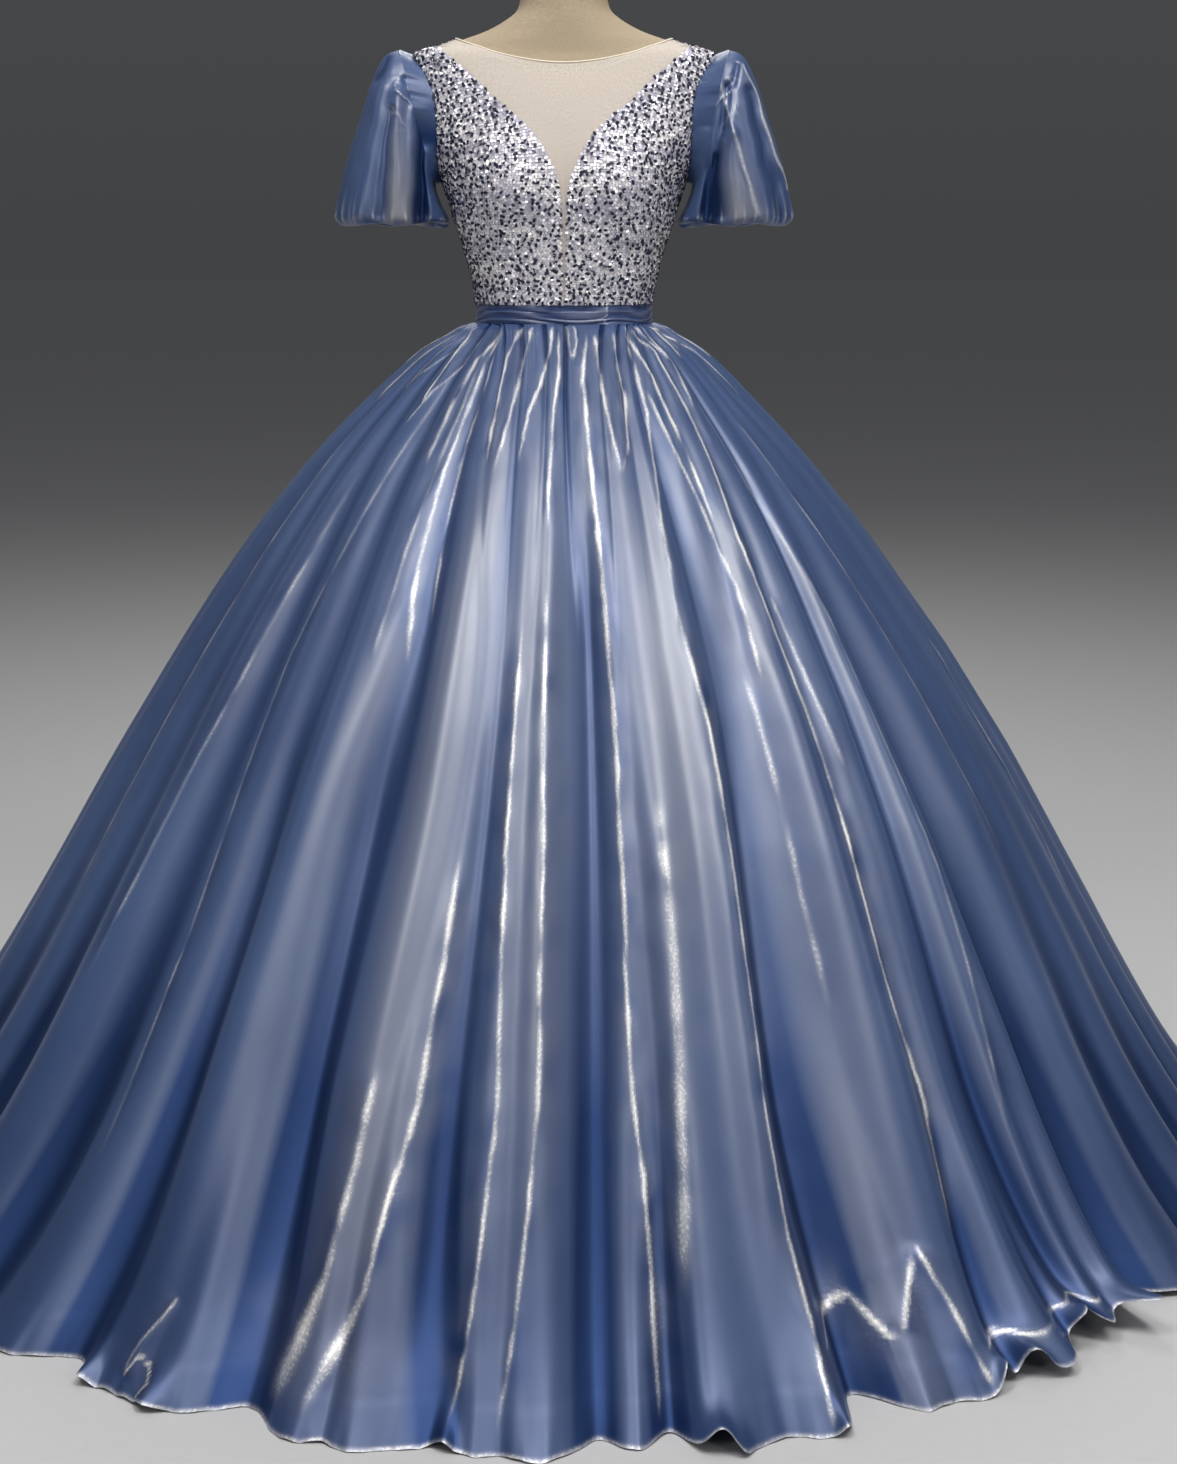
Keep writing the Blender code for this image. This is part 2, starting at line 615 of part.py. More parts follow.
def fold_depth(azimuth, waist_azimuth, folds, share):
    """How far the cloth lies inside the skirt's outer line, as the sum of its valleys."""
    centres = fold_azimuths(folds, share)
    share = share[:, None]
    depth = np.zeros(azimuth.shape)
    for index, waist in enumerate(folds["waist"]):
        fold = folds["mid"][index] * np.sin(math.pi * share) + folds["hem_depth"][index] * share**HEM_RISE
        shape = valley(azimuth, centres[:, index, None], folds["before"][index], folds["after"][index])
        gather = folds["gather"][index] * np.exp(-share / GATHER_FADE)
        depth += fold * shape + gather * valley(waist_azimuth, waist, GATHER_WIDTH, GATHER_WIDTH)
    return MM * depth


def skirt_gore(start, end, folds):
    """One gore's inner face between two seams: the skirt's line less the depth of its folds."""
    column = skirt_columns(start, end)
    slant = np.hypot(np.diff(SKIRT["side"]), np.diff(SKIRT["height"]))
    share = np.append(np.cumsum(slant[::-1])[::-1], 0) / slant.sum()
    own_azimuth = between_folds(fold_azimuths(folds, share), column)
    waist_azimuth = between_folds(folds["waist"], column)
    side, front, power = (SKIRT[name][:, None] for name in ("side", "front", "squareness"))
    fan = np.exp((side[-1] - side) / FAN_LENGTH)
    azimuth = np.radians(own_azimuth + (waist_azimuth - own_azimuth) * fan)
    radius = (np.abs(np.sin(azimuth) / side) ** power + np.abs(np.cos(azimuth) / front) ** power)
    radius = radius ** (-1 / power)
    lean = np.cos(azimuth - SKIRT_LEAN_ANGLE) * share[:, None] ** 2
    radius = radius * (1 + SKIRT_LEAN * lean) - fold_depth(own_azimuth, waist_azimuth, folds, share)
    count = len(folds["lift"])
    lift = MM * np.interp(column, np.arange(count), folds["lift"], period=count)
    height = SKIRT["height"][:, None] + lift * share[:, None] ** LIFT_RISE
    points = np.stack([radius * np.sin(azimuth), -radius * np.cos(azimuth), height], axis=-1)
    for last, beside in ((0, 1), (-1, -2)):
        inward = points[:, beside] - points[:, last]
        points[:, last] += inward * (SEAM / 2 / np.linalg.norm(inward, axis=1, keepdims=True))
    return points


def capped_loft(name, rings, material, collection):
    """A closed body through rings of equal point counts, with a flat face at each end."""
    mesh = grid_mesh(name, rings, wrap_columns=True)
    solid = bmesh.new()
    solid.from_mesh(mesh)
    bmesh.ops.holes_fill(solid, edges=[e for e in solid.edges if e.is_boundary])
    bmesh.ops.recalc_face_normals(solid, faces=solid.faces)
    solid.to_mesh(mesh)
    solid.free()
    return add_mesh(name, mesh, material, collection)


def add_dress_form(material, collection):
    angle = spread(0, 2 * math.pi, TORSO_COLUMNS + 1)[:-1]
    rows = np.sort(np.append(np.arange(len(TORSO["height"])), EXTRA_RINGS))
    capped_loft("dress_form_torso", torso_point(angle[None], rows[:, None]), material, collection)


def add_neck_cap(material, collection):
    angle = spread(0, 2 * math.pi, TORSO_COLUMNS + 1)[:-1]
    ring = torso_point(angle, np.full(angle.shape, len(TORSO["height"]) - 1.0))
    ring[:, 2] += SEAM
    rings = np.stack([ring * (0.985, 0.985, 1), ring * (0.985, 0.985, 1), ring * (0.93, 0.93, 1)])
    rings[1, :, 2] += NECK_CAP_THICKNESS * 0.7
    rings[2, :, 2] += NECK_CAP_THICKNESS
    capped_loft("dress_form_neck_cap", rings, material, collection)


def add_turned(name, profile, steps, material, collection):
    """A profile of radii and heights, down its outer side, turned about the vertical axis."""
    mesh = bpy.data.meshes.new(name)
    corners = [(radius, 0.0, height) for radius, height in profile]
    mesh.from_pydata(corners, [(i, i + 1) for i in range(len(corners) - 1)], [])
    item = add_mesh(name, mesh, material, collection)
    screw = item.modifiers.new("turn", "SCREW")
    screw.steps = steps
    screw.render_steps = steps
    screw.use_merge_vertices = True
    screw.merge_threshold = 1e-5
    return item


def add_stand(material, collection):
    top, rim = STAND_THICKNESS, 0.003
    base = ((0, top), (0.05, top), (STAND_RADIUS - 0.02, top * 0.7), (STAND_RADIUS - rim, 0.006))
    add_turned("stand_base", (*base, (STAND_RADIUS, rim), (STAND_RADIUS, 0), (0, 0)), 24, material, collection)
    pole_top = TORSO["height"][0] - SEAM
    pole = ((0, pole_top), (POLE_RADIUS, pole_top), (POLE_RADIUS, top + SEAM), (0, top + SEAM))
    add_turned("stand_pole", pole, 16, material, collection)


def add_neck_binding(material, collection):
    """A narrow bound edge all round the neckline, a round cord of cloth."""
    quarter = spread(0, math.pi / 2, NECK_COLUMNS)
    front, back = neckline(quarter, FRONT_NECK), neckline(quarter, BACK_NECK)
    angle = np.concatenate([quarter, math.pi - quarter[::-1][1:]])
    row = np.concatenate([front, back[::-1][1:]])
    half = over_torso(angle, row, EASE + BINDING_RADIUS)
    route = np.concatenate([half, half[-2:0:-1] * (-1.0, 1.0, 1.0)])
    curve = bpy.data.curves.new("neck_binding", "CURVE")
    curve.dimensions = "3D"
    curve.bevel_depth = BINDING_RADIUS
    curve.bevel_resolution = 1
    spline = curve.splines.new("POLY")
    spline.points.add(len(route) - 1)
    spline.points.foreach_set("co", np.append(route, np.ones((len(route), 1)), axis=1).ravel())
    spline.use_cyclic_u = True
    curve.materials.append(material)
    collection.objects.link(bpy.data.objects.new("neck_binding", curve))


def add_bodice(sequins, net, edging, collection):
    front, back = front_panel(), back_panel()
    add_cloth("bodice_front_left", front, sequins, collection, grows=1.0)
    add_cloth("bodice_front_right", mirrored(front), sequins, collection, grows=1.0)
    add_cloth("bodice_back_left", back, sequins, collection, grows=1.0)
    add_cloth("bodice_back_right", mirrored(back), sequins, collection, grows=1.0)
    yoke = add_mesh("neck_yoke", narrowing_mesh("neck_yoke", *net_yoke()), net, collection)
    add_wall(yoke, 1.0)
    add_neck_binding(edging, collection)


def add_sleeves(organza, collection):
    left = sleeve()
    add_cloth("sleeve_left", left, organza, collection, wrap_columns=True)
    add_cloth("sleeve_right", mirrored(left), organza, collection, wrap_columns=True)


def add_belt(satin, collection):
    ring = grid_mesh("waist_belt", belt(), wrap_columns=True, wrap_rows=True)
    add_mesh("waist_belt", ring, satin, collection)


def add_skirt(organza, collection):
    folds = all_folds()
    starts = [nearest_crest(start, folds) for _, start in GORES]
    for (name, _), start, end in zip(GORES, starts, [*starts[1:], starts[0] + len(folds["hem"])]):
        add_cloth(name, skirt_gore(start, end, folds), organza, collection, grows=1.0)


def main():
    clear_scene()
    gown = bpy.data.collections.new("ball_gown_on_dress_form")
    bpy.context.scene.collection.children.link(gown)
    organza = new_material("organza", (0.085, 0.145, 0.330), 0.32)
    sequins = new_material("sequins", (0.560, 0.580, 0.700), 0.30, 0.4)
    net = new_material("net", (0.640, 0.560, 0.440), 0.75)
    edging = new_material("edging", (0.760, 0.700, 0.600), 0.60)
    satin = new_material("satin", (0.030, 0.065, 0.185), 0.28)
    linen = new_material("linen", (0.620, 0.560, 0.440), 0.85)
    steel = new_material("steel", (0.080, 0.080, 0.085), 0.40, 0.6)
    add_bodice(sequins, net, edging, gown)
    add_sleeves(organza, gown)
    add_belt(satin, gown)
    add_skirt(organza, gown)
    add_dress_form(linen, gown)
    add_neck_cap(linen, gown)
    add_stand(steel, gown)


main()
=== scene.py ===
"""Looks of a ball gown on a limbless dress form: cloth, sequins, form, light and camera.

In metres, +Z up. The front faces -Y and the wearer's left is +X. Azimuths and form angles
run from the front (0) towards +X (90 degrees). The sizes are those of the solid model.
"""

import math

import bpy
import numpy as np
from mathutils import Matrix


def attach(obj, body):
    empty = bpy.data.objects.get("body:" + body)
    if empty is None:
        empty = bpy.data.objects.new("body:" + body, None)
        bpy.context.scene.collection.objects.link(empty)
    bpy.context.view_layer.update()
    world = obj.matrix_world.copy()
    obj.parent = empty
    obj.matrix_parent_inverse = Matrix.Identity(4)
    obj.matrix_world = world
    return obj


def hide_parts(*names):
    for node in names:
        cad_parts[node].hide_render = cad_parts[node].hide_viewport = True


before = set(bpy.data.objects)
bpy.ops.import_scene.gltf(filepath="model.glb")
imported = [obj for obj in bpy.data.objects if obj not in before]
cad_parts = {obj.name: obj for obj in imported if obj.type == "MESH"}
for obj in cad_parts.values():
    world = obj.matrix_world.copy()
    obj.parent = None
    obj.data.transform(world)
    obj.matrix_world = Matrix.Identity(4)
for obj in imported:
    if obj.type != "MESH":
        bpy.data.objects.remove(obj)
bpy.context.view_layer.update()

CLOTH = 0.0013
SEAM = 0.0003
EASE = 0.0027
SHOULDER_EASE = 0.0012
SHOULDER_FADE = 0.012
MM = 0.001

BELT_BOTTOM = 1.108
BELT_TOP = 1.138
UNDERARM = 1.300
SHOULDER_TIP = 1.4615
NECK_SHOULDER = 1.480
FRONT_NECK = 1.448
BACK_NECK = 1.455
NECKLINE_SWEEP = 1.9
ARMHOLE_HALF_DEPTH = 0.050
SLEEVE_INSET = 0.0012
TOP_BEND = 1.1  # how late a panel's rows take the shape of its top edge
BUST_X, BUST_Z = 0.078, 1.283
BUST_WIDTH, BUST_HEIGHT, BUST_LIFT = 0.048, 0.055, 0.020
BINDING_RADIUS = 0.0013
NECK_CAP_THICKNESS = 0.006


def table(columns, *rows):
    """A short table as a dictionary of named columns."""
    return dict(zip(columns.split(), np.array(rows, float).T))


TORSO = table(
    "height half_width front back squareness",
    (0.884, 0.1100, 0.0700, 0.0800, 2.30),
    (0.889, 0.1360, 0.0880, 0.1000, 2.30),
    (0.906, 0.1550, 0.1000, 0.1140, 2.35),
    (0.950, 0.1630, 0.1050, 0.1190, 2.40),
    (1.000, 0.1570, 0.1010, 0.1120, 2.40),
    (1.050, 0.1390, 0.0930, 0.0980, 2.35),
    (1.090, 0.1215, 0.0870, 0.0880, 2.30),
    (1.123, 0.1158, 0.0845, 0.0845, 2.30),
    (1.155, 0.1172, 0.0860, 0.0850, 2.30),
    (1.195, 0.1255, 0.0910, 0.0880, 2.35),
    (1.240, 0.1395, 0.0970, 0.0920, 2.40),
    (1.285, 0.1535, 0.1010, 0.0950, 2.45),
    (1.325, 0.1680, 0.0990, 0.0960, 2.50),
    (1.365, 0.1800, 0.0920, 0.0950, 2.50),
    (1.400, 0.1880, 0.0830, 0.0900, 2.50),
    (1.430, 0.1930, 0.0735, 0.0820, 2.50),
    (1.450, 0.1950, 0.0660, 0.0730, 2.50),
    (SHOULDER_TIP, 0.1940, 0.0605, 0.0660, 2.40),
    (1.470, 0.1680, 0.0585, 0.0625, 2.20),
    (NECK_SHOULDER, 0.1425, 0.0570, 0.0600, 2.10),
    (1.4915, 0.1090, 0.0555, 0.0575, 2.00),
    (1.500, 0.0903, 0.0545, 0.0560, 2.00),
    (1.5096, 0.0743, 0.0535, 0.0550, 2.00),
    (1.5185, 0.0637, 0.0525, 0.0540, 2.00),
    (1.530, 0.0587, 0.0515, 0.0530, 2.00),
    (1.546, 0.0570, 0.0505, 0.0520, 2.00),
    (1.562, 0.0575, 0.0510, 0.0525, 2.00),
)

# Half the gap between the two sequinned fronts.
V_EDGE = table(
    "height half_gap",
    (1.138, 0.0012),
    (1.160, 0.0018),
    (1.200, 0.0026),
    (1.240, 0.0032),
    (1.268, 0.0038),
    (1.290, 0.0062),
    (1.308, 0.0113),
    (1.326, 0.0193),
    (1.347, 0.0305),
    (1.367, 0.0475),
    (1.386, 0.0690),
    (1.404, 0.0915),
    (1.433, 0.1200),
    (1.4500, 0.1410),
    (1.4600, 0.1540),
    (1.4665, 0.1630),
    (1.4700, 0.1680),
)

# A puff sleeve, a row for each ring from the armhole to the edge turned up inside the hem.
SLEEVE = table(
    "outer_x outer_z inner_x inner_z half_depth furrow",
    (0.2170, 1.4700, 0.1720, 1.2935, 0.068, 0.001),
    (0.2385, 1.4605, 0.1720, 1.2890, 0.075, 0.003),
    (0.2565, 1.4270, 0.1700, 1.2820, 0.082, 0.008),
    (0.2700, 1.3880, 0.1670, 1.2740, 0.086, 0.011),
    (0.2860, 1.3420, 0.1630, 1.2650, 0.089, 0.014),
    (0.2985, 1.3000, 0.1590, 1.2580, 0.089, 0.016),
    (0.3065, 1.2640, 0.1560, 1.2500, 0.087, 0.015),
    (0.3055, 1.2490, 0.1560, 1.2435, 0.084, 0.012),
    (0.2970, 1.2420, 0.1610, 1.2400, 0.078, 0.008),
    (0.2850, 1.2450, 0.1710, 1.2440, 0.071, 0.004),
    (0.2780, 1.2560, 0.1770, 1.2540, 0.066, 0.002),
)
FURROW_ANGLE = math.radians(124)
FURROW_SPREAD = math.radians(10)
# Folds of each puff, as lines from (x, z) to (end_x, end_z) in the left sleeve's place. Narrow
# and broad are the half widths at the two ends in millimetres, and rise is the height, below 0
# for a furrow. Sharp is the painted highlight on the crest. Glow is a painted sheen over the fold.
SLEEVE_FOLDS = {
    "right": table(
        "x z end_x end_z narrow broad rise sharp glow",
        (0.1880, 1.3900, 0.1890, 1.2424, 5, 8, -9, 0.0, 0.0),
        (0.1980, 1.3900, 0.2040, 1.2450, 4, 7, 3, 0.0, 0.30),
        (0.2347, 1.4570, 0.2454, 1.4320, 5, 6, -6, 0.0, 0.0),
        (0.2180, 1.4110, 0.2190, 1.2550, 9, 17, 6, 0.0, 0.65),
        (0.2380, 1.4200, 0.2720, 1.2590, 8, 14, 4, 0.0, 0.0),
        (0.2260, 1.3900, 0.2420, 1.2560, 4, 8, -5, 0.0, 0.0),
        (0.2100, 1.4300, 0.2000, 1.4080, 4, 5, -4, 0.0, 0.0),
    ),
    "left": table(
        "x z end_x end_z narrow broad rise sharp glow",
        (0.2025, 1.4440, 0.2200, 1.3600, 5, 8, 5, 0.6, 0.0),
        (0.2200, 1.3600, 0.2561, 1.2550, 8, 10, 5, 0.35, 0.30),
        (0.2150, 1.4180, 0.1900, 1.2450, 6, 10, -7, 0.0, 0.0),
        (0.2420, 1.4150, 0.2870, 1.2560, 7, 11, -6, 0.0, 0.0),
        (0.2380, 1.4480, 0.2960, 1.2900, 6, 8, 4, 0.7, 0.0),
        (0.2120, 1.3500, 0.2290, 1.2550, 9, 16, 5, 0.0, 0.60),
        (0.2000, 1.3300, 0.2040, 1.2550, 5, 7, -4, 0.0, 0.0),
        (0.1900, 1.4060, 0.1880, 1.3700, 4, 5, -4, 0.0, 0.0),
        (0.2290, 1.4470, 0.2230, 1.4240, 4, 5, -5, 0.0, 0.0),
    ),
}
CRUMPLE_X, CRUMPLE_Z = 0.209, 1.408
HEAD_ANGLE = 0.45  # how far round from its top a sleeve's head is gathered
FOLD_GROWTH = 1.5
BACK_SHIFT = 0.012  # the folds of a puff's back lie this much further out

BELT = table(
    "share thickness",
    (0.00, 0.0016),
    (0.04, 0.0026),
    (0.22, 0.0034),
    (0.33, 0.0022),
    (0.42, 0.0035),
    (0.66, 0.0023),
    (0.74, 0.0034),
    (0.95, 0.0029),
    (1.00, 0.0016),
)
BELT_EASE = 0.0010
LAP_ANGLE = math.radians(28)
LAP_LENGTH = math.radians(32)
LAP_THICKNESS = 0.0009
BELT_ROWS, BELT_COLUMNS = 56, 260
PLEAT_WANDER = 1.3  # how far the pleats run up and down round the waist, in the table's rows
CREST_FROM, CREST_RANGE = 0.0029, 0.0008  # thicknesses from which a pleat's crest gets a painted highlight
LAP_ZIGZAG = table(
    "share angle",
    (0.00, 1.6),
    (0.42, -2.0),
    (0.62, 1.0),
    (1.00, -0.6),
)

# The skirt's outer line, a row for each section from the hem to the waist.
HEM = 0.0006
SKIRT = table(
    "height side front squareness",
    (HEM, 0.968, 1.040, 2.0),
    (0.090, 0.895, 0.955, 2.0),
    (0.210, 0.818, 0.866, 2.0),
    (0.360, 0.731, 0.766, 2.0),
    (0.520, 0.639, 0.657, 2.0),
    (0.680, 0.537, 0.546, 2.0),
    (0.820, 0.440, 0.441, 2.0),
    (0.930, 0.351, 0.346, 2.0),
    (1.010, 0.272, 0.261, 2.0),
    (1.070, 0.203, 0.180, 2.1),
    (1.098, 0.1565, 0.127, 2.2),
    (BELT_BOTTOM - 0.0020, 0.1440, 0.1140, 2.25),
    (BELT_BOTTOM + 0.0035, 0.1300, 0.0995, 2.3),
    (BELT_BOTTOM + 0.0052, 0.1226, 0.0916, 2.3),
)
PINCH = 0.003  # share of the length over which the gathers open from the belt's seam
PINCH_DEPTH = 0.85
SWAY = 2.2  # millimetres of slow wandering in and out
SKIRT_LEAN = 0.018
SKIRT_LEAN_ANGLE = math.radians(-60)
LEFT_DROP = table(  # how much closer the wearer's left side hangs, as a share of its radius
    "share drop",
    (0.00, 0.000),
    (0.06, 0.020),
    (0.12, 0.038),
    (0.24, 0.038),
    (0.36, 0.020),
    (0.44, 0.000),
    (0.56, -0.012),
    (0.74, -0.010),
    (1.00, 0.000),
)
FAN_LENGTH = 0.060
FAN = table(
    "skirt waist",
    (0, 0),
    (6, 24),
    (18, 50),
    (30, 57),
    (45, 66),
    (60, 74),
    (75, 83),
    (90, 90),
)
FOLD_LEVELS = {"top": 0.11, "middle": 0.40, "low": 0.75, "hem": 1.00}
# The valleys of the front: their azimuths at the four levels, the depths in millimetres of the
# waist gather, of the fold half way down and of the fold at the hem, the half widths in degrees
# on the two sides, and how far the hem is lifted in millimetres.
FRONT_FOLDS = table(
    "top middle low hem gather mid hem_depth before after lift",
    (-82.0, -82.0, -82.0, -82.0, 6, 12, 44, 3.2, 3.0, 0),
    (-68.6, -68.0, -68.0, -69.0, 6, 14, 46, 3.0, 3.0, 0),
    (-59.0, -58.5, -58.0, -58.0, 6, 22, 50, 3.0, 2.6, 0),
    (-49.0, -46.0, -43.5, -45.5, 6, 24, 46, 2.5, 3.4, 0),
    (-36.5, -35.0, -34.0, -33.5, 6, 22, 42, 2.6, 1.8, 0),
    (-29.5, -27.5, -26.5, -26.5, 6, 3, 6, 1.2, 1.2, 0),
    (-24.0, -20.8, -21.5, -19.3, 7, 34, 44, 2.4, 1.9, 0),
    (-17.7, -11.8, -13.9, -14.0, 6, 3, 9, 0.8, 0.7, 0),
    (-11.2, -8.4, -9.4, -7.2, 7, 10, 24, 1.5, 1.7, 0),
    (-4.2, -4.2, -4.1, -4.0, 6, 6, 8, 0.9, 0.9, 0),
    (0.3, 2.0, 2.0, 2.2, 7, 26, 24, 2.0, 2.0, 0),
    (9.7, 7.7, 7.2, 6.5, 7, 3, 52, 1.6, 1.0, 0),
    (15.8, 13.8, 13.0, 12.6, 7, 11, 8, 1.7, 1.3, 0),
    (20.8, 21.2, 18.4, 18.8, 6, 20, 78, 1.2, 2.8, 0),
    (29.6, 26.5, 23.9, 24.4, 6, 13, 12, 2.2, 1.4, 0),
    (36.5, 33.4, 31.2, 29.4, 6, 12, 32, 1.0, 1.4, 0),
    (40.5, 37.5, 34.6, 34.8, 0, 0, 26, 0.9, 0.9, 20),
    (43.5, 41.0, 37.2, 37.2, 6, 20, 34, 1.1, 1.0, 26),
    (47.0, 44.0, 40.4, 39.8, 0, 0, 28, 1.0, 1.0, 24),
    (50.5, 47.0, 45.0, 43.8, 6, 15, 56, 1.3, 2.8, 10),
    (57.0, 60.0, 57.0, 56.5, 6, 16, 50, 3.0, 3.0, 0),
    (64.0, 68.0, 66.0, 66.0, 6, 13, 44, 2.6, 3.0, 0),
    (73.0, 76.0, 75.5, 76.0, 6, 14, 50, 3.0, 2.8, 0),
    (83.0, 85.0, 85.0, 86.0, 6, 12, 44, 3.0, 3.0, 0),
)
BACK_FOLD_COUNT = 15
BACK_FOLDS = table(
    "gather mid hem_depth before after",
    (6, 18, 52, 3.2, 2.6),
    (7, 25, 60, 2.6, 3.4),
    (6, 14, 42, 2.8, 2.8),
)
BACK_FOLD_SEED = 7
# Broad soft folds between the others: where each begins and ends on the length, its half width
# in degrees and its depth in millimetres. A negative depth is a swell.
SOFT_FOLDS = table(
    "top middle low hem start end width depth",
    (-24.0, -24.0, -21.8, -21.5, 0.45, 1.20, 2.2, 16),
    (-36.0, -36.0, -33.2, -30.5, 0.50, 1.20, 2.4, 14),
    (-9.0, -8.5, -8.5, -9.8, 0.45, 1.20, 1.5, 9),
    (4.5, 4.0, 2.9, 2.0, 0.28, 1.20, 1.9, 16),
    (22.0, 21.0, 17.5, 13.8, 0.50, 1.20, 1.6, 8),
    (-48.0, -48.0, -47.0, -45.0, 0.30, 1.20, 4.0, 14),
    (36.0, 36.0, 36.0, 37.0, 0.70, 1.20, 2.2, 8),
    (-14.0, -15.5, -14.5, -13.5, 0.20, 0.95, 3.0, -8),
    (-3.0, -2.5, -2.0, -2.0, 0.35, 0.80, 2.0, -5),
    (16.0, 13.5, 9.0, 7.0, 0.25, 0.65, 3.0, -7),
    (22.0, 22.0, 22.8, 22.5, 0.80, 1.20, 2.0, -8),
)
SOFT_ENDS = 0.12  # half the share of the length over which a soft fold begins or ends
SWELL_GLOW = 0.030  # painted sheen for each millimetre of a swell
GATHER_WIDTH = 1.9
GATHER_DEPTH = 1.9
GATHER_FADE = 0.10
SMALL_GATHERS = 120
SMALL_WIDTHS = (0.5, 1.1)  # degrees
SMALL_DEPTHS = (2.0, 5.5)  # millimetres
SMALL_LENGTHS = (0.010, 0.045)  # shares of the skirt's length. Each seventh is twice as long
HEM_RISE = 2.6
MID_SHIFT = 1.3
BROADER = 0.8  # how much wider a fold is half way down
LIFT_RISE = 12

# The gores, from the seam at the centre back round by the wearer's right, and the columns
# of points in each.
GORES = (
    ("skirt_back_right", -180.0, 150),
    ("skirt_side_back_right", -126.0, 130),
    ("skirt_side_front_right", -75.5, 260),
    ("skirt_front", -30.0, 460),
    ("skirt_side_front_left", 27.0, 320),
    ("skirt_side_back_left", 81.0, 130),
    ("skirt_back_left", 126.0, 150),
)
SKIRT_ROWS = 200
EVEN_ROWS = 0.35  # how evenly the rows are spread. The rest of them crowd at the hem and waist

